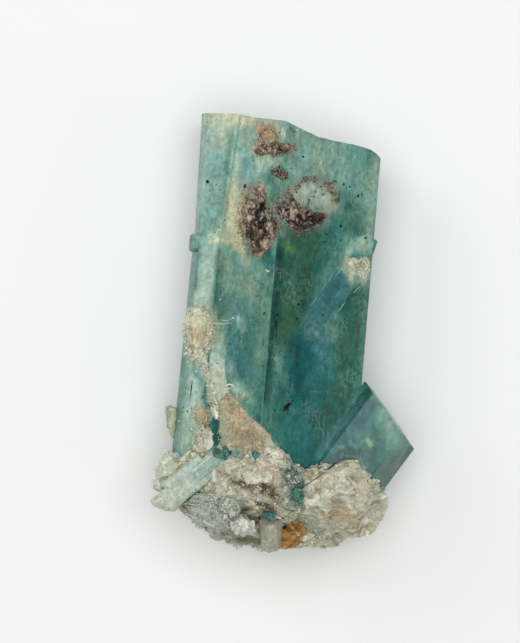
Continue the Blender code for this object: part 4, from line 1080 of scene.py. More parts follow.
strays = {  # count, how far out they reach as shares of the patch's outline, size
    "grainsLeft": (520, 1.22, 0.12), "grainsRight": (420, 1.22, 0.11), "grainsTopBrown": (260, 1.3, 0.09),
    "grainsTopTan": (260, 1.35, 0.07), "grainsSmall": (110, 1.35, 0.09), "creamPatch": (260, 1.2, 0.08),
    "tanPatch": (220, 1.3, 0.07),
}
arcGrains = {"clusters": [(0.9, 13.7, 0.35), (1.6, 14.5, 0.4), (2.4, 14.6, 0.25), (3.9, 14.3, 0.4),
                          (4.5, 13.7, 0.4),
                          (4.9, 12.9, 0.3), (0.2, 13.0, 0.3), (3.2, 13.5, 0.7), (2.2, 12.3, 0.6)],
                          "each": 26}
for number, (name, (count, out, largest)) in enumerate(strays.items()):
    # small grains that lie over a patch and just outside its edge, fewer and finer further out
    chance = np.random.default_rng(570 + number)
    patch = patches[name]
    outline = np.array(patch["outline"])
    middle = outline.mean(axis=0)
    turns = chance.uniform(-np.pi, np.pi, count)
    share = 0.7 + (out - 0.7) * chance.random(count) ** 1.3
    flat = middle + np.stack([np.cos(turns), np.sin(turns)],
                             axis=1) * (reachOf(outline, middle, turns) * share)[:, None]
    if name == "grainsRight":
        place = np.repeat(np.array(arcGrains["clusters"]), arcGrains["each"], axis=0)
        arc = place[:, :2] + place[:, 2:] * chance.normal(0, 0.6, (len(place), 2))
        flat = np.concatenate([flat, arc])
        share = np.concatenate([share, np.full(len(arc), 0.95)])
    size = (0.03 + (largest - 0.03) * chance.random(len(flat)) ** 2) * np.interp(share, [0.9, out],
                                                                                 [1.0, 0.6])
    spots = np.column_stack([flat, faceHeight(*flat.T) + 0.1 * size])
    tints = pickFrom(patch["palette"], chance.random(len(flat)))
    outer = np.interp(share, [0.8, 1.05], [0.0, 0.85])[:, None]
    tints = (tints + (shares(patch["rim"]) - tints) * outer) * chance.uniform(0.75, 1.05, (len(flat), 1))
    brown = patch["node"].startswith("brown")
    putInPlace(looseGrains(name + "Strays", spots, size, tints, 580 + number),
               grainsStained if brown else feldsparBroken, patch["node"])
print("patches of grains set in")


# stones: boxes with broken sides
def brokenStone(name, stones, palette, seed, relief, grain, washes=None):
    # each stone is a closed grid of directions from its middle. Its surface is the nearest of its
    # box's six sides and a few chance cuts, softly joined, then broken by shallow shells and grains
    made = []
    for k, (middle, half, turn) in enumerate(stones):
        chance = np.random.default_rng(seed + k)
        rows = int(np.interp(max(half), [0.5, 1.6], [40, 110]))
        grid = directionGrid(rows, rows + 50)
        sides = np.concatenate([np.eye(3), -np.eye(3)])
        cuts = chance.normal(size=(7, 3))
        cuts /= np.linalg.norm(cuts, axis=1)[:, None]
        normals = np.concatenate([sides, cuts])
        distances = np.concatenate([np.ones(6), chance.uniform(0.98, 1.22, 7)])
        shape = grid * cutReach(grid, normals, distances, 16)[..., None] * np.array(half)
        turned = np.array(Euler(np.radians(turn)).to_matrix())
        points = shape @ turned.T + np.array(middle)
        away = (grid / np.array(half)) @ turned.T
        away /= np.linalg.norm(away, axis=-1)[..., None]
        gap, number, height = grainCells(points, grain, seed + 31 + k)
        fine = cloudNoise(points, grain * 0.4, seed + 41 + k, 3)
        swell = cloudNoise(points, min(half) * 1.3, seed + 51 + k, 2)
        points = points + away * (relief * (0.7 * height + 0.35 * fine + 0.5 * swell) - 0.5 * relief)[...,
                                                                                                      None]
        tone = (0.5 + 0.35 * cloudNoise(points, min(half) * 0.8, seed + 61 + k)
                + 0.35 * (number - 0.5)).clip(0, 1)
        # painted light: the colour lightens with the grains' heights, which also push the surface out
        colours = (ramp(tone, palette) * (0.95 + 0.14 * height + 0.1 * fine)[..., None]).reshape(-1, 3)
        places = points.reshape(-1, 3)
        if washes:
            layWashes(places, colours, washes, smoothStep(3.0, 5.5, places[:, 2]))
        stone = ringMesh(f"{name}{k + 1}", points)
        tintRings(stone, colours)
        made.append(stone)
    if len(made) > 1:
        booleanWith(made[0], made[1:], "UNION")
    made[0].name = name
    shadeCrisp(made[0], 30)
    return made[0]


# the crust of feldspar that runs up the front
def crustStrip(name, strip):
    # rows across the strip, each from its left to its right edge: the top arches over by the row's
    # thickness, wrinkled and grained, and the bottom lies under the face
    rows, across = strip["grid"]
    y = np.linspace(strip["rows"][0][0], strip["rows"][-1][0], rows)
    table = np.array(strip["rows"])[::-1]
    left, right, thick = (np.interp(y, table[:, 0], table[:, k]) for k in (1, 2, 3))
    edge = np.stack([np.zeros(rows), y, np.zeros(rows)], axis=-1)
    left = left + strip["ragged"] * cloudNoise(edge, 0.7, strip["seed"], 3)
    right = right + strip["ragged"] * cloudNoise(edge + 50.0, 0.7, strip["seed"], 3)
    share = np.linspace(-1.0, 1.0, across)[None, :]
    x = (left + right)[:, None] / 2 + share * (right - left)[:, None] / 2
    yy = np.broadcast_to(y[:, None], x.shape)
    x = x + 0.08 * cloudNoise(np.stack([x, yy, np.zeros_like(x)], axis=-1), 0.8, strip["seed"] + 3)
    floorOf = faceHeight(x, yy)
    fall, steep = strip["arch"]
    arch = (1.0 - np.abs(share) ** fall).clip(0, 1) ** steep * thick[:, None]
    spots = np.stack([x, yy, floorOf + arch], axis=-1)
    gap, number, height = grainCells(spots, strip["grain"], strip["seed"] + 5)
    wrinkles = cloudNoise(spots, strip["wrinkle"], strip["seed"] + 7, 3)
    fine = cloudNoise(spots, 0.16, strip["seed"] + 9, 2)
    full = (1.0 - share**6) * (thick / 0.5).clip(0.3, 1.0)[:, None]
    lift = strip["relief"] * height * smoothStep(0.0, 0.4, gap) + strip["folds"] * wrinkles + 0.05 * fine
    top = floorOf - 0.06 + arch + lift * full
    over = np.stack([x, yy, top], axis=-1)
    under = np.stack([x, yy, floorOf - 0.5], axis=-1)[:, ::-4]
    made = ringMesh(name, np.concatenate([over, under], axis=1))
    # painted light and shade: the colour lightens where the wrinkles and grains stand higher and darkens in
    # their hollows
    shade = 0.94 + 0.26 * wrinkles + 0.5 * strip["relief"] * height + 0.2 * fine
    colours = ramp((0.6 * number + 0.4 * (0.5 + 0.5 * cloudNoise(spots, 1.2, strip["seed"] + 11))).clip(0,
                                                                                                        1),
                   strip["palette"]) * shade.clip(0.45, 1.15)[..., None]
    flat = np.ascontiguousarray(np.concatenate([colours, colours[:, ::-4]], axis=1).reshape(-1, 3))
    places = np.concatenate([over, under], axis=1).reshape(-1, 3)
    layWashes(places, flat, strip["washes"])
    tintRings(made, flat)
    shadeCrisp(made, 50)
    putInPlace(made, feldsparBroken, "feldspar_matrix")
    return made


crustRidge = {
    "rows": [(2.1, -7.5, -7.2, 0.06), (1.7, -7.8, -7.1, 0.15), (1.4, -8.2, -6.9, 0.35),
             (1.1, -8.4, -6.4, 0.5),
             (0.8, -8.75, -6.4, 0.65), (0.4, -8.95, -5.95, 0.7), (0.0, -8.8, -6.25, 0.75),
             (-0.4, -8.45, -5.9, 0.8),
             (-0.8, -8.5, -6.35, 0.75), (-1.3, -8.1, -6.15, 0.7), (-1.8, -8.05, -6.5, 0.55),
             (-2.6, -7.6, -6.3, 0.35), (-3.2, -7.1, -6.25, 0.2), (-3.7, -6.75, -6.1, 0.14),
             (-4.3, -6.4, -5.9, 0.12),
             (-4.9, -6.1, -5.65, 0.12), (-5.5, -5.85, -5.4, 0.12), (-6.1, -5.65, -5.15, 0.14),
             (-6.8, -5.5, -4.95, 0.18), (-7.4, -5.4, -4.8, 0.2), (-8.0, -5.25, -4.65, 0.2),
             (-8.7, -5.0, -4.5, 0.14)],
    "grid": (380, 80), "arch": (2.2, 0.9), "ragged": 0.46, "grain": 0.4, "relief": 0.08,
    "wrinkle": (0.26, 0.7, 0.4), "folds": 0.24, "seed": 601,
    "palette": ["C2BF98", "D4D2B2", "E3E2CA", "CFD2B4"],
    "washes": {
        "orange heart": ([(-7.5, -0.7), (-7.4, -1.2)], 0.2, 0.6, "C8A468", 0.6, 0.5),
        "cream crown": ([(-8.1, 0.6), (-7.2, 0.5), (-6.5, 0.2)], 0.35, 0.4, "D6D4B4", 0.8, 0.3),
        "tan hollow": ([(-7.1, -0.3), (-7.0, -1.0)], 0.12, 0.3, "A58F63", 0.35, 0.3),
        "green tail": ([(-7.6, -2.4), (-7.2, -3.2)], 0.2, 0.4, "B4BE9F", 0.6, 0.3),
        "pale foot": ([(-6.6, -3.4), (-6.2, -5.0), (-5.6, -6.6)], 0.5, 0.4, "D6DBC4", 0.8, 0.3),
    },
}
crustFan = {
    "rows": [(-6.1, -4.15, -3.85, 0.06), (-6.5, -4.5, -3.4, 0.25), (-7.0, -4.7, -2.8, 0.45),
             (-7.5, -4.75, -2.3, 0.55),
             (-8.0, -4.75, -1.75, 0.5), (-8.8, -4.65, -0.6, 0.5), (-9.6, -4.55, 0.25, 0.55),
             (-10.3, -4.5, 0.7, 0.6),
             (-11.0, -4.4, 1.25, 0.8), (-11.6, -4.2, 1.7, 0.7), (-12.3, -3.9, 1.6, 0.4)],
    "grid": (260, 170), "arch": (4.0, 0.5), "ragged": 0.4, "grain": 0.42, "relief": 0.06,
    "wrinkle": (0.6, 0.7, 0.6), "folds": 0.18, "seed": 631,
    "palette": ["A0987A", "B8AE90", "CAC0A4", "ABA386", "D6CFB8"],
    "washes": {
        "orange peak": ([(-4.0, -6.9), (-3.7, -7.7)], 0.35, 0.5, "CBB582", 0.8, 0.35),
        "pinkish middle": ([(-2.7, -8.0), (-1.6, -9.2)], 0.5, 0.6, "C4A888", 0.8, 0.5),
        "brown mottles": ([(-3.2, -9.3), (-2.4, -9.9), (-1.4, -9.9)], 0.3, 0.5, "8F8060", 0.75, 0.8),
        "grey green left": ([(-4.3, -7.6), (-4.2, -8.6), (-4.0, -10.4)], 0.5, 0.5, "B0B398", 0.85, 0.4),
        "shade low": ([(-3.3, -10.2), (-1.4, -10.3), (-0.5, -9.8)], 0.25, 0.5, "9C9274", 0.6, 0.4),
        "cream tip": ([(0.3, -10.2), (1.2, -11.2)], 0.35, 0.4, "D2D2BA", 0.85, 0.25),
        "white edge": ([(-3.3, -6.8), (-1.6, -8.2), (-0.2, -9.6)], 0.1, 0.25, "CFD0B6", 0.8, 0.25),
        "pink end": ([(0.2, -11.5), (1.5, -11.6)], 0.25, 0.3, "CDBBA0", 0.8, 0.2),
        "brown crease": ([(-1.7, -11.1), (0.0, -11.0)], 0.12, 0.2, "857A58", 0.7, 0.2),
    },
}
crustFoot = {
    "rows": [(-9.5, -5.7, -5.5, 0.05), (-10.1, -6.0, -5.3, 0.15), (-10.8, -6.3, -5.0, 0.25),
             (-11.4, -6.6, -4.9, 0.3),
             (-12.0, -6.5, -4.8, 0.3), (-12.5, -6.4, -4.9, 0.2)],
    "grid": (120, 70), "arch": (4.0, 0.5), "ragged": 0.4, "grain": 0.9, "relief": 0.12,
    "wrinkle": (0.5, 0.5, 0.5), "folds": 0.2,
    "seed": 671,
    "palette": ["C2BE9E", "D6D3BA", "E2E1CE", "CFCDB4"],
    "washes": {"gold grain": ([(-6.1, -11.9), (-5.7, -12.1)], 0.2, 0.25, "8E7C50", 0.75, 0.2)},
}
for name, strip in (("crustRidge", crustRidge), ("crustFan", crustFan), ("crustFoot", crustFoot)):
    crustStrip(name, strip)
crustFringe = {
    # line along the crust, way the fibres point in degrees and its spread, length, count
    "lines": [([(-7.9, 1.3), (-7.2, 1.2), (-6.6, 0.9)], 85, 28, 0.8, 60),
              ([(-6.4, 0.9), (-6.2, -0.2), (-6.4, -1.4)], 10, 40, 0.45, 90),
              ([(-8.6, 0.4), (-8.5, -0.8)], 170, 30, 0.15, 30),
              ([(-7.0, -2.4), (-6.2, -4.2), (-5.6, -6.0)], -65, 50, 0.3, 90),
              ([(-5.6, -5.4), (-5.2, -6.8), (-4.9, -7.8)], -50, 50, 0.3, 80),
              ([(-3.6, -6.6), (-2.2, -7.7), (-0.9, -9.2), (0.6, -10.6)], 45, 40, 0.16, 160),
              ([(-7.6, -2.2), (-7.3, -3.2)], -110, 30, 0.6, 40)],
    "palette": ["D9DAC2", "C9CCB2", "E2E2CE", "B9BE9F"],
}
chance = np.random.default_rng(661)
starts, ends = [], []
for path, way, spread, long, count in crustFringe["lines"]:
    flat = spotsAlong(path, count, 0.12, chance)
    turn = np.radians(way + spread * chance.normal(size=count))
    tip = flat + np.stack([np.cos(turn), np.sin(turn)],
                          axis=1) * (long * chance.uniform(0.3, 1.0, (count, 1)))
    starts.append(np.column_stack([flat, faceHeight(*flat.T) + chance.uniform(0.0, 0.25, count)]))
    ends.append(np.column_stack([tip, faceHeight(*tip.T) + chance.uniform(-0.02, 0.05, count)]))
starts, ends = np.concatenate(starts), np.concatenate(ends)
fringe = needles("crustFringe", starts, ends, chance.uniform(0.02, 0.05, len(starts)),
                 pickFrom(crustFringe["palette"], chance.random(len(starts))))
putInPlace(fringe, feldsparBroken, "feldspar_matrix")
fanGrains = {"count": 800, "least": 0.02, "most": 0.08,
             "palette": ["A09475", "AFA284", "C6BC9F", "D2CAB0", "B5A785", "DAD4C0", "8C8060"]}
chance = np.random.default_rng(681)
table = np.array(crustFan["rows"])[::-1]
y = -12.0 + 5.5 * chance.random(fanGrains["count"]) ** 1.3
left, right = (np.interp(y, table[:, 0], table[:, k]) for k in (1, 2))
x = left + (right - left) * chance.beta(0.8, 0.8, len(y)) + chance.normal(0, 0.08, len(y))
share = ((x - left) / (right - left)).clip(0, 1) * 2.0 - 1.0
high = np.sqrt((1.0 - share**4).clip(0, 1)) * np.interp(y, table[:, 0], table[:, 3])
size = fanGrains["least"] + (fanGrains["most"] - fanGrains["least"]) * chance.random(len(y)) ** 2.5
tints = pickFrom(fanGrains["palette"], chance.random(len(y)))
fanSpots = np.column_stack([x, y, faceHeight(x, y) + high - 0.04 + chance.uniform(0.0, 0.08, len(y))])
putInPlace(looseGrains("fanGrains", fanSpots, size, tints, 683),
           feldsparBroken, "feldspar_matrix")
crustGrains = {
    "lines": [([(-6.9, -3.0), (-6.1, -4.6), (-5.5, -6.2), (-5.1, -8.2)], 0.45, 420, 0.02, 0.1),
              ([(-8.1, -2.4), (-7.6, -3.0), (-7.0, -3.4)], 0.5, 160, 0.02, 0.1),
              ([(-8.5, 1.3), (-7.5, 1.9), (-6.5, 1.4), (-6.0, 0.4), (-6.0, -1.3), (-6.3, -2.4)],
               0.3, 380, 0.02, 0.08),
              ([(-5.9, -9.9), (-6.1, -10.6), (-6.0, -11.4), (-6.2, -12.0)], 0.65, 700, 0.03, 0.15),
              ([(-6.6, -11.4), (-5.9, -11.9), (-5.2, -12.2)], 0.5, 220, 0.03, 0.15),
              ([(-8.4, 0.2), (-8.5, -1.0), (-8.0, -2.2), (-7.6, -3.0)], 0.3, 160, 0.03, 0.12),
              ([(-6.4, 0.6), (-6.2, -0.8), (-6.6, -2.0)], 0.35, 160, 0.03, 0.12),
              ([(-3.9, -6.4), (-2.5, -7.6), (-1.0, -9.2), (0.6, -10.6), (1.6, -11.2)], 0.2, 260, 0.02, 0.1)],
    "palette": ["E2E3D2", "D2D4BE", "DCD9C2", "C3C4A8", "EAEBDD", "B8B495"],
}
grainsAlong("crustGrains", crustGrains["lines"], crustGrains["palette"], 691,
            lambda x, y: faceHeight(x, y) + 0.12, feldsparBroken, "feldspar_matrix")
print("crust laid up the front")


# the matrix: feldspar, quartz and mica grown round the crystals' roots
matrix = {
    "outline": [(-8.5, -15.8), (-8.1, -14.2), (-7.0, -13.2), (-5.6, -12.2), (-4.3, -11.3), (-2.4, -11.1),
                (-0.3, -11.0), (1.7, -11.2), (2.5, -12.2), (3.6, -12.8), (4.9, -13.3), (6.0, -12.4),
                (7.4, -11.5),
                (9.2, -11.4), (10.9, -12.6), (11.7, -14.6), (11.3, -16.7), (10.0, -18.4), (8.3, -19.5),
                (6.3, -20.1), (4.3, -20.2), (2.6, -20.1), (1.3, -19.9), (0.2, -20.3), (-0.6, -20.8),
                (-2.4, -20.6), (-3.6, -20.45), (-4.6, -19.9), (-5.6, -19.3), (-6.7, -18.4), (-7.6, -17.6)],
    "middle": (1.4, -16.0),
    "cover": [(-9.0, 6.6), (-6.1, 9.0), (-0.6, 12.3), (3.6, 10.9), (8.6, 10.3), (11.6, 7.4)],
    "crown": 1.25,
    "lowEdge": 6.4,
    "sides": [(1.0, 1.0), (0.84, 1.02), (0.62, 1.01), (0.4, 0.97), (0.2, 0.88), (0.09, 0.72), (0.06, 0.4),
              (0.05, 0.02)],
    "grains": [(2.9, 1.3), (1.3, 0.85), (0.5, 0.2)],  # size and how far they stand out
    "palette": ["A9A890", "C9C6AC", "DEDAC4", "D3D0B8", "B4B8A2", "EAE8D6", "CEC6AC"],
    "washes": {
        "cream top": ([(-2.8, -13.2), (-1.2, -13.0), (0.8, -13.2)], 1.1, 0.8, "D2CAB2", 0.5, 0.5),
        "pinkish middle": ([(0.2, -12.8), (1.4, -13.6)], 0.8, 0.6, "D8C4AE", 0.7, 0.5),
        "brown stain": ([(0.1, -14.6), (0.9, -14.9), (1.4, -15.4)], 0.45, 0.5, "75643F", 0.85, 0.6),
        "brown specks": ([(-2.7, -16.4), (-2.2, -17.1)], 0.35, 0.5, "7A7050", 0.6, 0.5),
        "olive crease": ([(-2.9, -14.0), (-1.9, -14.5)], 0.2, 0.3, "80805C", 0.7, 0.3),
        "pink grain": ([(-1.0, -15.3), (-0.1, -15.4)], 0.25, 0.2, "CDB4A4", 0.85, 0.15),
        "grey green glassy": ([(-2.6, -15.8), (-1.9, -16.6)], 0.55, 0.5, "A2B2A2", 0.75, 0.4),
        "grey green low": ([(-5.6, -17.0), (-4.0, -18.6), (-2.6, -19.4)], 1.3, 0.8, "A0A796", 0.85, 0.5),
        "white right": ([(2.0, -14.2), (2.6, -15.8), (2.4, -17.3)], 0.7, 0.6, "B6BAA6", 0.7, 0.5),
        "teal shade right": ([(2.4, -12.6), (2.9, -14.0), (3.3, -15.4)], 0.75, 0.6, "56796A", 0.85, 0.7),
        "teal by the slit": ([(-5.0, -11.5), (-3.0, -11.6)], 0.5, 0.4, "5D8A7C", 0.85, 0.6),
        # painted shade in the creases between the grains
        "dark crease": ([(-3.0, -14.2), (-1.4, -14.6), (-0.4, -14.3)], 0.14, 0.3, "5A5440", 0.8, 0.4),
        "dark crease, low": ([(-2.9, -16.2), (-2.0, -16.9), (-0.9, -16.7)], 0.12, 0.3, "4E4C3A", 0.8, 0.4),
        "crease in the middle": ([(-0.2, -15.9), (0.8, -16.2)], 0.12, 0.25, "5C5340", 0.8, 0.4),
        "olive low edge": ([(-1.6, -20.0), (-0.2, -20.1)], 0.4, 0.4, "7C7550", 0.8, 0.3),
        "cream right": ([(6.0, -13.6), (8.0, -13.2), (9.6, -14.4)], 0.9, 0.9, "D9CFB6", 0.6, 0.7),
        "tan right": ([(7.2, -16.4), (8.8, -17.4)], 0.7, 0.8, "A8946C", 0.6, 0.8),
        "green right": ([(4.6, -17.2), (5.6, -18.6)], 0.6, 0.8, "8E9C88", 0.7, 0.8),
        # painted shade in a hole
        "dark hole": ([(0.6, -17.0), (1.2, -16.9)], 0.28, 0.25, "2F473B", 0.95, 0.15),
    },
}


def rimHeight(x, y):
    # a little over the crystals it covers, and low at its lower end
    cover = np.interp(x, *zip(*matrix["cover"]))
    down = smoothStep(0.0, 1.0, (-14.5 - y) / 6.0)
    return cover + (matrix["lowEdge"] - cover) * down


def shapeMatrix():
    # rings over the front, at shares of the outline round its middle, then down the sides. Every
    # point is pushed out from the middle by grains of three sizes, each with a flat, tilted top
    middle = np.array(matrix["middle"])
    turns = np.linspace(-np.pi, np.pi, 400, endpoint=False)
    arms = np.stack([np.cos(turns), np.sin(turns)], axis=1)
    arms = arms * reachOf(matrix["outline"], middle, turns)[:, None]
    rim = rimHeight(*(middle + arms).T)
    share = np.sqrt(np.linspace(0.0008, 1.0, 130))[:, None]
    flat = middle + arms[None] * share[..., None]
    front = rimHeight(flat[..., 0], flat[..., 1]) + matrix["crown"] * np.sqrt(1.0 - share**4)
    rings = [np.concatenate([flat, front[..., None]], axis=-1)]
    t = np.linspace(0.0, 1.0, 66)[1:, None]
    knots = np.linspace(0.0, 1.0, len(matrix["sides"]))
    level = np.interp(t, knots, [k[0] for k in matrix["sides"]])
    inward = np.interp(t, knots, [k[1] for k in matrix["sides"]])
    side = middle + arms[None] * inward[..., None]
    rings.append(np.concatenate([side, (rim[None] * level)[..., None]], axis=-1))
    points = np.concatenate(rings)
    away = points - np.array([*middle, 4.0])
    away /= np.linalg.norm(away, axis=-1)[..., None]
    lift = np.zeros(points.shape[:-1])
    shade = np.ones(points.shape[:-1])
    stain = np.zeros(points.shape[:-1])
    tone = 0.5 + 0.25 * cloudNoise(points, 1.6, 711)
    warped = points + 0.3 * np.stack([cloudNoise(points, 0.8, 720 + k) for k in range(3)], axis=-1)
    for k, (size, step) in enumerate(matrix["grains"]):
        gap, number, height = grainCells(warped, size, 731 + 20 * k)
        lift += step * (0.5 * height + 0.5 * (number - 0.5)) * (0.4 + 0.6 * smoothStep(0.0, 0.2, gap))
        # the seams and pits take the olive fill between the grains, darkened further as painted shade, and
        # higher grain tops are painted lighter, painted light
        seams = (1.0 - smoothStep(0.02, 0.13, gap)) * smoothStep(-0.15, 0.25,
                                                                 cloudNoise(points, 1.4, 740 + k))
        shade *= 1.0 + (0.05, 0.1, 0.08)[k] * height
        stain = np.maximum(stain, (0.35, 0.6, 0.45)[k] * seams)
        tone += (0.3, 0.5, 0.2)[k] * (number - 0.5)
    fine = cloudNoise(points, 0.45, 791, 4)
    pits = smoothStep(0.25, 0.6, cloudNoise(points, 1.1, 797, 4))
    lift += 0.1 * fine - 0.45 * pits
    stain = np.maximum(stain, 0.6 * pits)
    points = points + away * lift[..., None]
    points[..., 2] = points[..., 2].clip(0.02, None)
    made = ringMesh("feldsparMatrix", points)
    colours = ramp(tone.clip(0, 1), matrix["palette"]) * (shade + 0.12 * fine).clip(0.35, 1.2)[..., None]
    # olive fill and painted shade in the seams and pits
    olive = ramp(0.5 + 0.5 * cloudNoise(points, 1.8, 799), ["34322A", "62583C", "7A7A62", "4E4E40"])
    colours = colours + (olive - colours) * stain[..., None]
    flatColours = colours.reshape(-1, 3)
    places = points.reshape(-1, 3)
    layWashes(places, flatColours, matrix["washes"], smoothStep(5.0, 7.5, places[:, 2]))
    tintRings(made, flatColours)
    return made


def roomOf(name, low, high, near, far, grow):
    # a plain prism along the crystals, a little larger than the one it makes room for
    rings = []
    for section, y in ((low, near), (high, far)):
        corners = np.array(section, float)
        middle = corners.mean(axis=0)
        away = corners - middle
        corners = middle + away * (1.0 + grow / np.linalg.norm(away, axis=1))[:, None]
        rings.append(np.stack([corners[:, 0], np.full(len(corners), y), corners[:, 1]], axis=-1))
    return ringMesh(name, np.array(rings))


lump = shapeMatrix()
rooms = [roomOf("mainRoom", bigCrystal["section"], bigCrystal["section"], -15.2, 22.0, 0.06),
         roomOf("leftRoom", sideCrystals["lowerLeft"]["low"], sideCrystals["lowerLeft"]["high"],
                -13.1, 8.0, 0.05)]
place, length = slantPlace(*(slantCrystals["lowerSlant"][k] for k in ("start", "end", "up")))
corners = np.array(slantCrystals["lowerSlant"]["section"]) * 1.012
ends = [place[0] + corners[:, :1] * place[2] + corners[:, 1:] * place[3]
        + place[1] * far for far in (-0.1, length)]
rooms.append(ringMesh("slantRoom", np.array(ends)))
booleanWith(lump, rooms, "DIFFERENCE")
shadeCrisp(lump, 35)
putInPlace(lump, feldsparBroken, "feldspar_matrix")
print("matrix grown round the roots,", len(lump.data.polygons), "faces")


# loose grains over the matrix and along the crust
def onTopOf(made, x, y):
    # the height of the mesh's upper side at each place, from the highest vertex in its square of a
    # grid of 0.25 mm
    points = meshPoints(made.data)
    low = points[:, :2].min(axis=0)
    square = ((points[:, :2] - low) / 0.25).astype(int)
    top = np.zeros(square.max(axis=0) + 1)
    np.maximum.at(top, tuple(square.T), points[:, 2])
    square = ((np.stack([x, y], axis=1) - low) / 0.25).astype(int).clip(0, np.array(top.shape) - 1)
    return top[tuple(square.T)]


creamLumps = {  # place over the matrix, how deep it sits, half sizes, turn
    "stones": [(-0.5, -13.5, 0.4, (1.4, 0.62, 0.6), (4, 0, 6)),
               (1.0, -12.0, 0.4, (1.2, 0.4, 0.5), (0, 6, -14)),
               (-0.15, -15.35, 0.25, (0.5, 0.4, 0.45), (0, 10, 20)),
               (-2.6, -16.3, 0.4, (0.85, 0.5, 0.55), (8, 0, -22)),
               (-3.0, -13.0, 0.4, (1.0, 0.5, 0.55), (0, 8, 12)),
               (-1.7, -15.2, 0.3, (0.55, 0.4, 0.45), (10, 4, 40)),
               (4.6, -15.4, 0.5, (0.9, 0.7, 0.7), (0, 12, 30)),
               (7.4, -13.6, 0.55, (1.1, 0.8, 0.8), (6, 14, -20))],
    "palette": ["B6B198", "CAC6AE", "DFDBC8", "C8BEA6"],
}
stones = [((x, y, onTopOf(lump, np.array([x]), np.array([y]))[0] - deep), half, turn)
          for x, y, deep, half, turn in creamLumps["stones"]]
putInPlace(brokenStone("creamLumps", stones, creamLumps["palette"], 861, 0.16, 0.5), feldsparBroken,
           "feldspar_matrix")


matrixGrains = {"count": 2200, "least": 0.03, "most": 0.15,
                "palette": ["D6D2BE", "DFDBCB", "CCCAB6", "BDBEA8", "D8CDB8", "ABAA92", "D2CAB4", "8E8A72",
                            "E6E3D5"]}
chance = np.random.default_rng(801)
points = meshPoints(lump.data)
x, y, z = points.T
underMica = (x > -7.2) & (x < -2.2) & (y < -16.0) & (z > 6.5)
picked = chance.choice(np.flatnonzero((z > 0.6) & ~underMica), matrixGrains["count"], replace=False)
spots = points[picked]
ways = meshNormals(lump.data)[picked]
size = matrixGrains["least"] + (matrixGrains["most"]
                                - matrixGrains["least"]) * chance.random(len(spots)) ** 4.0
tints = pickFrom(matrixGrains["palette"], chance.random(len(spots))) * chance.uniform(0.85, 1.08,
                                                                                      (len(spots), 1))
grains = looseGrains("matrixGrains", spots + ways * (size * 0.25)[:, None], size, tints, 803)
putInPlace(grains, feldsparBroken, "feldspar_matrix")


def overMatrix(x, y):
    # over the rim of the matrix, or the crystals where they stand higher
    return np.maximum(faceHeight(x, y), rimHeight(x, y) + 0.55)


rimGrains = {
    "lines": [([(1.9, -12.1), (2.9, -12.9), (4.2, -13.6), (5.0, -13.3), (5.8, -12.6)], 0.4, 300, 0.06, 0.3),
              ([(4.6, -13.5), (5.6, -12.7)], 0.3, 160, 0.06, 0.3),
              ([(2.0, -13.4), (2.2, -15.0), (1.9, -16.6)], 0.5, 240, 0.06, 0.3),
              ([(3.6, -13.6), (4.0, -15.0), (3.6, -16.4)], 0.6, 240, 0.06, 0.3)],
    "palette": ["DCDDCB", "C9CCB6", "E4E3D4", "B4B9A4", "98A08B"],
}
grainsAlong("rimGrains", rimGrains["lines"], rimGrains["palette"], 821, overMatrix, feldsparBroken,
            "feldspar_matrix")
specksOfMatrix = {
    "lines": [([(-3.2, -13.9), (-2.2, -14.3), (-1.2, -14.4), (-0.4, -14.2)], 0.8, 90, 0.02, 0.07),
              ([(0.0, -14.6), (0.9, -14.9), (1.5, -15.5)], 0.7, 90, 0.02, 0.07),
              ([(-3.2, -15.9), (-2.4, -16.6), (-1.4, -16.9)], 0.8, 110, 0.02, 0.06),
              ([(-0.5, -15.9), (0.7, -16.3), (1.3, -17.0)], 0.35, 110, 0.02, 0.08),
              ([(2.4, -12.4), (3.0, -13.8), (3.4, -15.2)], 0.6, 90, 0.02, 0.07)],
    "palette": ["2E2A20", "4A4230", "665A3C", "3A3C30"],
}
grainsAlong("matrixSpecks", specksOfMatrix["lines"], specksOfMatrix["palette"], 841,
            lambda x, y: onTopOf(lump, x, y), feldsparBroken, "feldspar_matrix")
print("loose grains scattered")


# broken stones: quartz, white feldspar, stained grains
quartzLump = {
    "stones": [((-8.5, -13.55, 6.7), (1.75, 1.3, 2.5), (8, -12, 24)),
               ((-9.2, -15.15, 6.2), (1.1, 1.2, 2.1), (-10, 14, -12)),
               ((-7.35, -12.75, 6.9), (1.2, 1.0, 2.1), (14, 9, 47))],
    "palette": ["D2D8C0", "DFE3D0", "E8EADB", "DCE1CF"],
    "washes": {
        "olive hollow": ([(-8.0, -13.2), (-8.6, -13.0)], 0.3, 0.4, "A9B08C", 0.8, 0.3),
        "cream side": ([(-8.6, -14.8), (-7.9, -14.0), (-7.0, -13.0), (-6.6, -12.6)],
                       0.4, 0.4, "DAD6B8", 0.85, 0.3),
        "gold corner": ([(-6.7, -12.0), (-6.2, -11.8)], 0.2, 0.25, "93835A", 0.7, 0.2),
        "pale outer end": ([(-9.9, -14.6), (-9.8, -15.6)], 0.4, 0.5, "D3D8C6", 0.6, 0.3),
    },
}
quartz = brokenStone("quartzLump", quartzLump["stones"], quartzLump["palette"],
                     901, 0.26, 1.2, quartzLump["washes"])
putInPlace(quartz, quartzBroken, "quartz_cluster")
chip = brokenStone("yellowChip", [((-9.05, -9.45, 5.4), (0.58, 1.55, 1.3), (4, 10, 10))],
                   ["A3AB80", "B4BB94", "C4CAAB"], 931, 0.1, 0.6)
putInPlace(chip, quartzBroken, "quartz_chip")
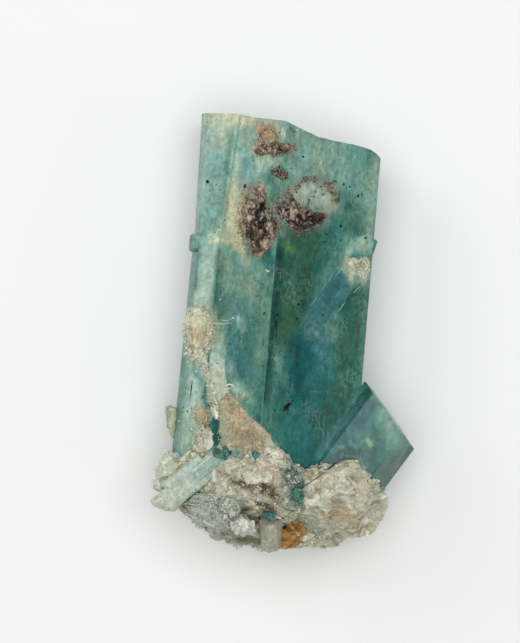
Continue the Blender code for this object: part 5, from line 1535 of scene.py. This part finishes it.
white = brokenStone("whiteBlock", [((-1.1, -18.6, 10.8), (0.8, 0.65, 1.3), (-14, 6, 12)),
                                   ((-2.1, -18.2, 10.5), (0.75, 0.6, 1.3), (20, -14, 38)),
                                   ((-1.5, -17.9, 11.0), (0.7, 0.5, 0.9), (5, 22, -30))],
                    ["BABCA9", "CACBBB", "D8D8CB", "C1C3B2"], 951, 0.22, 0.45)
putInPlace(white, feldsparBroken, "feldspar_block")
stained = brokenStone("goldGrain", [((3.05, -19.2, 9.6), (1.0, 0.9, 1.45), (12, -8, -9)),
                                    ((3.65, -18.5, 9.6), (0.76, 0.76, 1.15), (-18, 12, 31))],
                      ["523F1C", "845F28", "A88040", "C09A56", "70501F", "D2B274"], 971, 0.26, 0.36)
putInPlace(stained, grainsStained, "iron_stained_grain")
berylChunks = {
    "stones": [((-3.85, -11.75, 10.75), (1.05, 0.55, 0.75), (8, 6, -6)),
               ((-0.75, -11.65, 12.3), (0.45, 0.6, 0.6), (0, 10, 20)),
               ((2.7, -13.6, 11.9), (0.8, 0.9, 0.5), (-8, 12, 30)),
               ((3.3, -15.0, 11.7), (0.7, 0.6, 0.6), (14, 6, -20)),
               ((0.95, -17.05, 11.9), (0.5, 0.4, 0.5), (10, 0, -20))],
    "palette": ["235A50", "38776C", "5A968A", "2C665A"],
}
chunks = brokenStone("berylChunks", berylChunks["stones"], berylChunks["palette"], 941, 0.16, 0.4)
addCloud(chunks.data, np.full(len(chunks.data.vertices), 0.25))
putInPlace(chunks, beryl, "aquamarine_crystal")
bandGrains = {
    "lines": [([(-9.2, -15.4), (-8.5, -14.7), (-7.8, -13.8), (-7.4, -13.4), (-6.7, -12.6), (-6.2, -12.0)],
               0.4, 620, 0.05, 0.24)],
    "palette": ["E6E4CE", "D6D3B6", "DEDABE", "C4BE9C", "A89F78"],
}
grainsAlong("bandGrains", bandGrains["lines"], bandGrains["palette"], 991,
            lambda x, y: 9.4 + 0.25 * (x + 7.0), feldsparBroken, "quartz_cluster")
print("stones broken and set")


# the small crystals
smallCrystals = {
    "smallAquamarine": {
        "start": (-3.5, -11.7, 10.25), "end": (-9.6, -17.55, 9.05), "up": (0, 0, 1),
        "section": [(-1.0, 0.72), (-0.25, 1.0), (0.75, 0.94), (1.15, 0.3), (0.75, -0.9), (-0.8, -0.95),
                    (-1.2, 0.0)],
        "tilt": (0.5, -0.35), "point": 0.35, "spacing": 0.07, "depth": 0.035, "seed": 41, "milk": 0.55,
        "codes": ["9DBBAC", "AFC8B8", "C2D4C4", "D6E1D2", "B5CBBB"], "node": "small_aquamarine",
        "slot": "pale_aquamarine",
        "beside": [(1.15, -0.3, 2.2, -1.5, 0.3)],
        "washes": {
            "deep edge": ([(-4.9, -12.3), (-6.4, -13.8), (-8.6, -15.7)], 0.1, 0.25, "7FA798", 0.7, 0.2, 0.3),
            "blue upper end": ([(-4.4, -12.6), (-5.6, -13.8)], 0.6, 0.7, "8FB5A8", 0.7, 0.4, 0.35),
            "pale end": ([(-8.4, -16.2), (-9.8, -17.6)], 0.9, 0.8, "CBD2B8", 0.9, 0.4, 0.7),
            "pale side": ([(-4.6, -13.6), (-6.2, -15.4), (-7.4, -16.8)], 0.3, 0.4, "C2D2C2", 0.8, 0.3, 0.6),
            "brown edge": ([(-6.6, -16.2), (-7.6, -17.2)], 0.12, 0.3, "9A9470", 0.6, 0.25, 0.8),
        },
    },
    "smokyPrism": {
        "start": (1.0, -17.6, 11.1), "end": (1.5, -20.6, 9.9), "up": (0, 0, 1),
        "section": [(-0.55, 1.1), (0.6, 1.15), (1.05, 0.1), (0.6, -1.2), (-0.6, -1.2), (-1.1, 0.0)],
        "tilt": (0.12, -0.3), "point": 0.32, "spacing": 0.07, "depth": 0.03, "seed": 43, "milk": 0.85,
        "codes": ["A09B84", "ACA792", "BAB5A2", "A5A08A"], "node": "smoky_quartz", "slot": "smoky_quartz",
        "washes": {
            "pale foot": ([(1.5, -20.0), (1.6, -20.6)], 0.7, 0.5, "A9A798", 0.7, 0.3, 0.6),
            "green shade": ([(0.6, -18.2), (0.7, -19.2)], 0.25, 0.4, "8E9A88", 0.6, 0.3, 0.4),
        },
    },
}


def parallelGrowth(name, small):
    # the crystal with thinner ones grown along its sides: each beside entry moves the section
    # across and up, and starts and ends it by so much, with its own tilt
    whole = pointedPrism(name, small)
    (start, along, across, up), length = slantPlace(small["start"], small["end"], small["up"])
    others = []
    for k, (aside, above, late, early, tilt) in enumerate(small.get("beside", [])):
        thinner = dict(small, seed=small["seed"] + 7 * k + 3, tilt=(tilt, small["tilt"][1]), point=0.2)
        thinner["section"] = [(u * 0.5, v * 0.94) for u, v in small["section"]]
        moved = start + across * aside + up * above
        thinner["start"] = tuple(moved + along * late)
        thinner["end"] = tuple(moved + along * (length + early))
        others.append(pointedPrism(f"{name}{k + 2}", thinner))
    return booleanWith(whole, others, "UNION") if others else whole


def pointedPrism(name, small):
    # a section carried along its axis with growth steps, the edges round its end cut back by the
    # point's length, to a small end face that leans
    (start, along, across, up), length = slantPlace(small["start"], small["end"], small["up"])
    counts = sideCounts(small["section"], small["spacing"])
    ring, walk, outs = prismOutline(small["section"], counts, 0.08)
    leanAcross, leanUp = small["tilt"]
    reach = length + ring[:, 0] * leanAcross + ring[:, 1] * leanUp - small["point"]
    share = np.linspace(0.0, 1.0, int(length / small["spacing"]))[:, None]
    lengthwise = share * reach[None, :]
    depth = growthSteps(np.broadcast_to(walk, lengthwise.shape), lengthwise, small["seed"],
                        0.3, small["depth"])
    side = ring[None] - outs[None] * depth[..., None]
    closing = np.concatenate([np.linspace(0.96, 0.6, 12), np.linspace(0.55, 0.04, 10)])[:, None, None]
    cap = side[-1][None] * closing
    drawn = np.interp(closing[..., 0], [0.6, 1.0], [0.0, small["point"]])
    capHeight = length + cap[..., 0] * leanAcross + cap[..., 1] * leanUp - drawn
    capHeight -= 0.05 * (1.0
                         + cloudNoise(np.concatenate([cap, capHeight[..., None]], axis=-1),
                                      0.5, small["seed"]))
    flat = np.concatenate([side, cap])
    height = np.concatenate([lengthwise, capHeight])
    points = start + flat[..., :1] * across + flat[..., 1:] * up + height[..., None] * along
    made = ringMesh(name, points)
    streaks = np.stack([flat[..., 0], flat[..., 1], height * 0.08], axis=-1)
    tone = (0.55 + 0.5 * cloudNoise(streaks, 0.5, small["seed"] + 5, 3)).clip(0, 1)
    colours = ramp(tone, small["codes"]).reshape(-1, 3)
    cloud = (small["milk"] + 0.25 * cloudNoise(streaks, 0.4, small["seed"] + 9, 2)).ravel()
    places = points.reshape(-1, 3)
    layWashes(places, colours, small["washes"], smoothStep(8.0, 9.5, places[:, 2]), cloud)
    lines = softNoise(streaks, 0.12, small["seed"] + 13).ravel()
    colours = colours * (1.0 + 0.06 * lines)[:, None]
    tintRings(made, colours)
    addCloud(made.data, np.concatenate([cloud, cloud[:1], cloud[-1:]]))
    shadeCrisp(made, 28)
    return made


paleBeryl = berylMaterial("paleBerylAsGrown", (0.2, 0.45), (0.35, 0.05), 0.02)  # milkier, more etched
for name, small in smallCrystals.items():
    putInPlace(parallelGrowth(name, small), paleBeryl, small["node"])
whiteLines = {"count": 60, "palette": ["E6EEE4", "D5E3D8", "C6D8CC"]}
chance = np.random.default_rng(1051)
small = smallCrystals["smallAquamarine"]
(start, along, across, up), length = slantPlace(small["start"], small["end"], small["up"])
aside = chance.uniform(-0.95, 1.0, whiteLines["count"])[:, None]
above = np.interp(aside, [-1.0, -0.25, 0.75, 1.0], [0.72, 1.0, 0.94, 0.6])
late = chance.uniform(0.4, length - 2.2, whiteLines["count"])[:, None]
early = late + chance.uniform(0.5, 2.6, whiteLines["count"])[:, None]
lines = needles("whiteLines", start + across * aside + up * above + along * late,
                start + across * (aside + 0.04) + up * (above - 0.02) + along * early,
                chance.uniform(0.015, 0.035, whiteLines["count"]),
                pickFrom(whiteLines["palette"], chance.random(whiteLines["count"])))
addCloud(lines.data, np.ones(len(lines.data.vertices)))
putInPlace(lines, paleBeryl, "small_aquamarine")
print("small crystals made")


# mica: a mass of thin leaves standing on edge
micaMass = {
    "lumps": [  # middle, half length along the leaves, half depth across them, turn of the leaves, count
        ((-4.5, -17.9, 8.9), 2.2, 1.75, -20, 96),
        ((-3.2, -19.0, 8.3), 1.9, 1.0, -14, 54),
        ((-5.7, -17.2, 8.6), 1.2, 1.3, -38, 54),
        ((-2.9, -16.9, 9.9), 1.1, 0.9, -30, 34),
    ],
    "top": 2.2, "below": 0.1,
    "palette": ["A4AF9F", "B2BAAA", "C0C6B7", "9DA898", "CACFC1", "A9B3A3"],
}


def micaLeafMesh():
    # each leaf is a thin closed plate: a grid along its length and height, both faces at half its
    # thickness from a waved middle, its upper edge torn
    chance = np.random.default_rng(1101)
    columns, heights = 24, 5
    allPoints = []
    allFaces = []
    allColours = []
    offset = 0
    u, v = np.meshgrid(np.linspace(-1, 1, columns), np.linspace(0, 1, heights))
    quads = facesOfGrid(heights, columns, closed=False)
    rim = np.concatenate([np.arange(columns), np.arange(1, heights) * columns + columns - 1,
                          (heights - 1) * columns + np.arange(columns - 2, -1, -1),
                          np.arange(heights - 2, 0, -1) * columns])
    for middle, halfLong, halfDeep, turn, count in micaMass["lumps"]:
        angle = radians(turn)
        ahead = np.array([np.cos(angle), np.sin(angle), 0.0])
        square = np.array([-np.sin(angle), np.cos(angle), 0.0])
        for k in range(count):
            deep = (k + 0.5) / count * 2.0 - 1.0
            long = halfLong * np.sqrt(max(0.06, 1.0 - deep * deep)) * chance.uniform(0.7, 1.05)
            slide = chance.uniform(-0.25, 0.25) * halfLong
            wave = np.stack([u * long, v * 2.0, np.full(u.shape, deep * 1.5 + k * 0.02)], axis=-1)
            bend = 0.16 * cloudNoise(wave, 0.9, 1103, 2) + 0.55 * np.cos(u * 1.3)
            torn = 0.07 * cloudNoise(np.stack([u * long, np.zeros_like(u), np.full(u.shape, k * 1.7)], -1),
                                     0.35, 1105, 2)
            top = micaMass["top"] * np.sqrt((1.06 - 0.55 * deep**2 - 0.4 * u**2).clip(0.05, None)) + torn
            top += chance.uniform(-0.035, 0.035)
            height = -1.2 + v * (top + 1.2)
            thick = chance.uniform(0.012, 0.03)
            sheet = np.array(middle) + (u * long + slide)[..., None] * ahead
            sheet = sheet + height[..., None] * np.array([0, 0.12, 1.0])
            sheet = sheet + (deep * halfDeep + bend)[..., None] * square
            front = sheet + thick * square
            back = sheet - thick * square
            size = columns * heights
            points = np.concatenate([front.reshape(-1, 3), back.reshape(-1, 3)])
            ahead2 = np.roll(rim, -1)
            edge = np.stack([rim, ahead2, ahead2 + size, rim + size], axis=1)
            faces = np.concatenate([quads, quads[:, ::-1] + size, edge[:, ::-1]])
            triangles = np.concatenate([faces[:, [0, 1, 2]], faces[:, [0, 2, 3]]])
            if signedVolume(points, triangles) < 0:
                triangles = triangles[:, ::-1]
            toneOfLeaf = micaMass["palette"][chance.integers(0, len(micaMass["palette"]))]
            tone = shares(toneOfLeaf) * chance.uniform(0.9, 1.08)
            # painted light: each leaf is painted lighter towards its upper edge
            light = 0.95 + 0.08 * v.ravel() ** 3
            allPoints.append(points)
            allFaces.append(triangles + offset)
            allColours.append(np.tile(tone * light[:, None], (2, 1)))
            offset += len(points)
    made = meshObject("micaLeaves", np.concatenate(allPoints), np.concatenate(allFaces))
    addTint(made.data, np.concatenate(allColours))
    return made


def micaCores():
    # under each lump's leaves a filled body, one ring for each leaf's place: along the leaf's domed
    # upper edge a little below it, and back along its foot
    share = np.concatenate([np.linspace(-1, 1, 60), np.linspace(1, -1, 30)[1:-1]])
    upper = np.arange(len(share)) < 60
    deep = np.linspace(-0.97, 0.97, 70)[:, None]
    for k, (middle, halfLong, halfDeep, turn, _) in enumerate(micaMass["lumps"]):
        angle = radians(turn)
        long = halfLong * np.sqrt((1.0 - deep**2).clip(0.06, None)) * 0.96
        domeHere = np.sqrt((1.06 - 0.55 * deep**2 - 0.4 * share**2).clip(0.05, None))
        top = micaMass["top"] * domeHere - micaMass["below"]
        height = np.where(upper, top, -1.1)
        along = share * long
        side = deep * halfDeep + 0.55 * np.cos(share * 1.3)
        x = middle[0] + along * np.cos(angle) - side * np.sin(angle)
        y = middle[1] + along * np.sin(angle) + side * np.cos(angle) + 0.12 * height
        points = np.stack([x, y, middle[2] + height], axis=-1)
        across = np.stack([along * 0.35, side * 7.0, np.zeros_like(along)], axis=-1)
        ridges = cloudNoise(across, 0.5, 1131 + k, 3)
        points[..., 2] += 0.05 * ridges * upper
        core = ringMesh(f"micaCore{k + 1}", points)
        tone = (0.5 + 0.3 * ridges + 0.3 * cloudNoise(points, 1.0, 1141 + k)).clip(0, 1)
        tintRings(core, ramp(tone, ["9DA692", "B4BAA9", "C9CDBF", "D6D8CB"]))
        putInPlace(core, micaLeaves, "mica_book")


micaCores()
micaFlakes = {
    "lines": [([(-6.2, -16.6), (-5.2, -17.4), (-4.2, -18.2), (-3.2, -19.0)], 1.1, 200, 0.02, 0.09),
              ([(-5.0, -16.2), (-4.0, -16.8), (-3.0, -17.4)], 0.8, 260, 0.03, 0.15),
              ([(-3.2, -16.4), (-2.6, -17.4)], 0.7, 160, 0.04, 0.2)],
    "palette": ["C8CCBC", "B4BBAA", "DADCCE", "A2AA98", "D0D2C2", "8E9482"],
}
leaves = micaLeafMesh()
grainsAlong("micaFlakes", micaFlakes["lines"], micaFlakes["palette"], 1151,
            lambda x, y: onTopOf(leaves, x, y), micaLeaves, "mica_book")
putInPlace(leaves, micaLeaves, "mica_book")
print("mica leaves stood on edge,", len(leaves.data.polygons), "faces")


# dark specks and cracks, pale scratches, and glints on the crystals: the glints are painted highlights
def stretchedAlong(path, radius, name, tint, sink=0.1, flat=0.6):
    # a thin closed thread along a line on the face, a flattened ring of eight points at each step,
    # thinning to both ends
    path = np.array(path, float)
    walk = np.concatenate([[0.0], np.cumsum(np.linalg.norm(np.diff(path, axis=0), axis=1))])
    steps = np.linspace(0.0, walk[-1], max(8, int(walk[-1] / 0.06)))
    line = np.stack([np.interp(steps, walk, path[:, k]) for k in (0, 1)], axis=1)
    spots = np.column_stack([line, np.zeros(len(line))])
    line = line + 0.03 * np.stack([cloudNoise(spots, 0.25, 1201), cloudNoise(spots, 0.25, 1203)], axis=1)
    high = faceHeight(line[:, 0], line[:, 1]) - sink * radius
    middle = np.column_stack([line, high])
    ahead = np.gradient(line, axis=0)
    ahead /= np.linalg.norm(ahead, axis=1)[:, None]
    square = np.column_stack([-ahead[:, 1], ahead[:, 0], np.zeros(len(line))])
    thin = radius * np.sin(np.linspace(0.12, np.pi - 0.12, len(line))) ** 0.5
    thin *= 1.0 + 0.35 * cloudNoise(spots + 9.0, 0.2, 1207)
    turns = np.arange(8) / 8 * 2 * np.pi
    ring = np.cos(turns)[None, :, None] * square[:, None] + flat * np.sin(turns)[None, :,
                                                                                 None] * np.array([0, 0,
                                                                                                   1.0])
    made = ringMesh(name, middle[:, None] + ring * thin[:, None, None])
    addTint(made.data, np.tile(shares(tint), (len(made.data.vertices), 1)))
    return made


darkSpecks = [
    (-7.6, 13.7, 0.20), (-7.3, 12.8, 0.07), (-5.8, 13.4, 0.05), (-4.0, 13.5, 0.16), (1.2, 16.6, 0.10),
    (0.2, 15.4, 0.07), (-0.1, 19.1, 0.12), (0.1, 18.8, 0.10), (5.3, 14.5, 0.10), (5.9, 14.3, 0.12),
    (5.6, 14.1, 0.08), (6.8, 13.6, 0.13), (7.1, 13.7, 0.09), (6.7, 12.6, 0.08), (7.9, 14.8, 0.07),
    (7.7, 14.2, 0.06), (5.4, 10.5, 0.16), (7.9, 9.7, 0.12), (4.1, 9.5, 0.11), (4.0, 8.9, 0.10),
    (5.4, 9.2, 0.07), (6.1, 7.8, 0.06), (3.5, 6.6, 0.12), (-0.0, 0.9, 0.30), (-1.2, 1.7, 0.10),
    (0.1, 1.6, 0.10), (-7.6, 6.1, 0.07), (2.0, 2.8, 0.11), (2.2, 3.2, 0.09), (2.7, 2.9, 0.08),
    (1.9, 1.4, 0.10), (2.2, 1.1, 0.08), (6.5, 1.7, 0.11), (7.0, 1.6, 0.10), (1.1, -2.3, 0.08),
    (7.7, -2.8, 0.09), (3.1, -3.3, 0.05), (4.3, 2.0, 0.07), (6.4, -5.1, 0.08), (4.9, -5.3, 0.06),
    (1.7, -6.8, 0.30), (1.5, -7.0, 0.20), (1.9, -6.6, 0.14), (2.2, -6.3, 0.07), (0.6, -7.3, 0.10),
    (1.3, -7.4, 0.08), (-8.1, -7.9, 0.08), (-7.7, -8.2, 0.07), (-7.3, -7.9, 0.05), (-5.7, -7.6, 0.08),
    (-6.4, -9.0, 0.08), (-6.1, -9.2, 0.10), (-5.5, -9.3, 0.12), (-5.8, -9.5, 0.09), (9.8, -6.1, 0.08),
    (9.9, -6.0, 0.06), (7.7, -10.4, 0.10), (7.2, -10.8, 0.08), (8.5, -8.5, 0.08), (9.0, -8.4, 0.06),
    (5.8, -8.9, 0.05), (4.0, -12.5, 0.08), (4.3, -12.2, 0.06),
]
chance = np.random.default_rng(1301)
middles = []
sizes = []
for x, y, reach in darkSpecks:
    large = reach > 0.15
    many = int(reach / (0.012 if large else 0.05)) or 1
    flat = np.array([x, y]) + chance.normal(0, reach * 0.45,
                                            (many, 2)) * ((0.5, 1.1) if large else (many > 1))
    middles.append(np.column_stack([flat, faceHeight(flat[:, 0], flat[:, 1]) - (0.05 if large else 0.03)]))
    sizes.append(np.full(many, 0.1 if large else reach * 0.62 + 0.04) * chance.uniform(0.5, 1.0, many))
middles = np.concatenate(middles)
sizes = np.concatenate(sizes)
few = 130
flat = np.column_stack([chance.uniform(-8.2, 8.2, few), chance.uniform(-10.5, 18.0, few)])
middles = np.concatenate([middles, np.column_stack([flat, faceHeight(flat[:, 0], flat[:, 1]) - 0.03])])
sizes = np.concatenate([sizes, chance.uniform(0.03, 0.065, few)])
tints = pickFrom(["080C0B", "0F1513", "16201C", "050807"], chance.random(len(sizes)))
specks = looseGrains("darkSpecks", middles, sizes, tints, 1303, 0.5)
putInPlace(specks, tourmalineSpecks, "aquamarine_crystal")

# the threads named Glint are painted highlights, white strokes where the faces catch the light; the cracks and
# scratches are marks of the crystal
threads = {
    "darkCrack": ([(-7.46, -5.21), (-7.48, -5.86), (-7.5, -6.74)], 0.055, "1B2420"),
    "darkFork": ([(-6.5, -6.93), (-6.09, -6.51), (-6.27, -5.76)], 0.04, "222B25"),
    "darkForkArm": ([(-6.09, -6.51), (-5.74, -6.69)], 0.035, "222B25"),
    "arcCrack": ([(-7.86, 17.29), (-7.45, 16.41), (-6.7, 16.01), (-6.02, 16.46), (-5.76, 17.31)],
                 0.022, "6B8C7E"),
    "brightGlint": ([(-4.33, -5.48), (-3.91, -5.24), (-3.45, -5.35)], 0.07, "F2F8F2"),
    "brightGlintLow": ([(-4.21, -5.62), (-3.81, -5.68), (-3.5, -5.5)], 0.035, "DDEBE2"),
    "ridgeGlint": ([(-1.34, 5.78), (-1.15, 5.57), (-1.04, 5.71)], 0.05, "EDF5F0"),
    "longGlint": ([(-5.85, 0.42), (-4.98, 0.32), (-4.18, 0.56)], 0.04, "DCE9DD"),
    "longGlintUpper": ([(-5.28, 0.75), (-4.61, 0.67), (-4.11, 0.97)], 0.03, "CFE0D4"),
    "shortGlint": ([(-4.2, 1.03), (-3.93, 0.96)], 0.06, "F0F7F2"),
    "smallGlint": ([(-5.5, 2.56), (-5.32, 2.72)], 0.04, "D8E8DF"),
    "scratch": ([(6.38, 5.58), (5.93, 4.69), (5.35, 3.66)], 0.02, "8FB5B0"),
    "scratchRight": ([(7.63, 5.04), (7.09, 4.27)], 0.03, "B9D2CB"),
    "scratchLow": ([(6.37, 3.42), (6.08, 2.88), (5.73, 2.39)], 0.028, "AECBC5"),
    "scratchFoot": ([(6.02, 2.02), (6.27, 1.46), (6.72, 0.91)], 0.022, "86AEA6"),
    "leftScratch": ([(-5.24, 3.42), (-5.26, 2.9)], 0.02, "B5CEC4"),
    "edgeGlint": ([(8.02, -6.99), (8.24, -7.02)], 0.05, "DCE9E2"),
    "endGlint": ([(10.04, -5.9), (10.2, -5.95)], 0.05, "E8F0E8"),
    "topGlint": ([(0.34, 19.05), (0.55, 19.02)], 0.05, "F0F5F0"),
    "leftGlint": ([(-8.5, -9.2), (-8.3, -9.22)], 0.05, "DDE9DF"),
}
for name, (path, radius, tint) in threads.items():
    thread = stretchedAlong(path, radius, name, tint)
    dark = name.startswith("dark")
    putInPlace(thread, tourmalineSpecks if dark else paleScratchesAndGlints, "aquamarine_crystal")
print("specks, cracks and chips set")


# table, light and camera
view = {
    "middle": (-1.51, 0.88, 8.0),  # the point of the group that the picture's middle shows
    "turn": 4.8,  # how far the big crystal leans to the right, in degrees
    "distance": 200.0,
    "tall": 61.24,  # what the picture's height takes in at that distance
}
camera = bpy.data.objects.new("camera", bpy.data.cameras.new("camera"))
bpy.context.scene.collection.objects.link(camera)
camera.data.sensor_fit = "AUTO"
camera.data.sensor_width = 24.0
camera.data.lens = 24.0 * view["distance"] / view["tall"]
camera.data.clip_start = 0.01
camera.data.clip_end = 10.0
middleX, middleY, middleZ = view["middle"]
camera.location = Vector((middleX, middleY, middleZ + view["distance"])) * mm
camera.rotation_euler = (0.0, 0.0, radians(view["turn"]))
bpy.context.scene.camera = camera

floorPoints = np.array([(-600, -600, 0), (600, -600, 0), (600, 600, 0), (-600, 600, 0)], float)
floor = meshObject("floor", floorPoints, np.array([[0, 1, 2, 3]]))
paper, tree = newMaterial("mattePaper")
shader = addNode(tree, "ShaderNodeBsdfPrincipled", {"Base Color": rgba("FAFAF9"), "Roughness": 0.9})
addNode(tree, "ShaderNodeOutputMaterial", None, {"Surface": shader.outputs[0]})
floor.data.materials.append(paper)

lamps = {
    "overhead": {"at": (10, 30, 310), "size": 330, "power": 0.755},
    "window": {"at": (-250, 130, 190), "size": 170, "power": 0.2},
    "lowFill": {"at": (430, -90, 170), "size": 180, "power": 0.18},
}
for name, one in lamps.items():
    light = bpy.data.lights.new(name, "AREA")
    light.energy = one["power"]
    light.size = one["size"] * mm
    lamp = bpy.data.objects.new(name, light)
    bpy.context.scene.collection.objects.link(lamp)
    lamp.location = Vector(one["at"]) * mm
    lamp.visible_camera = False
    lamp.rotation_euler = (-lamp.location).to_track_quat("-Z", "Y").to_euler()
world = bpy.data.worlds.new("softRoom")
bpy.context.scene.world = world
world.use_nodes = True
world.node_tree.nodes["Background"].inputs["Color"].default_value = (0.96, 0.98, 1.0, 1.0)
world.node_tree.nodes["Background"].inputs["Strength"].default_value = 0.29
bpy.context.scene.view_settings.view_transform = "Standard"
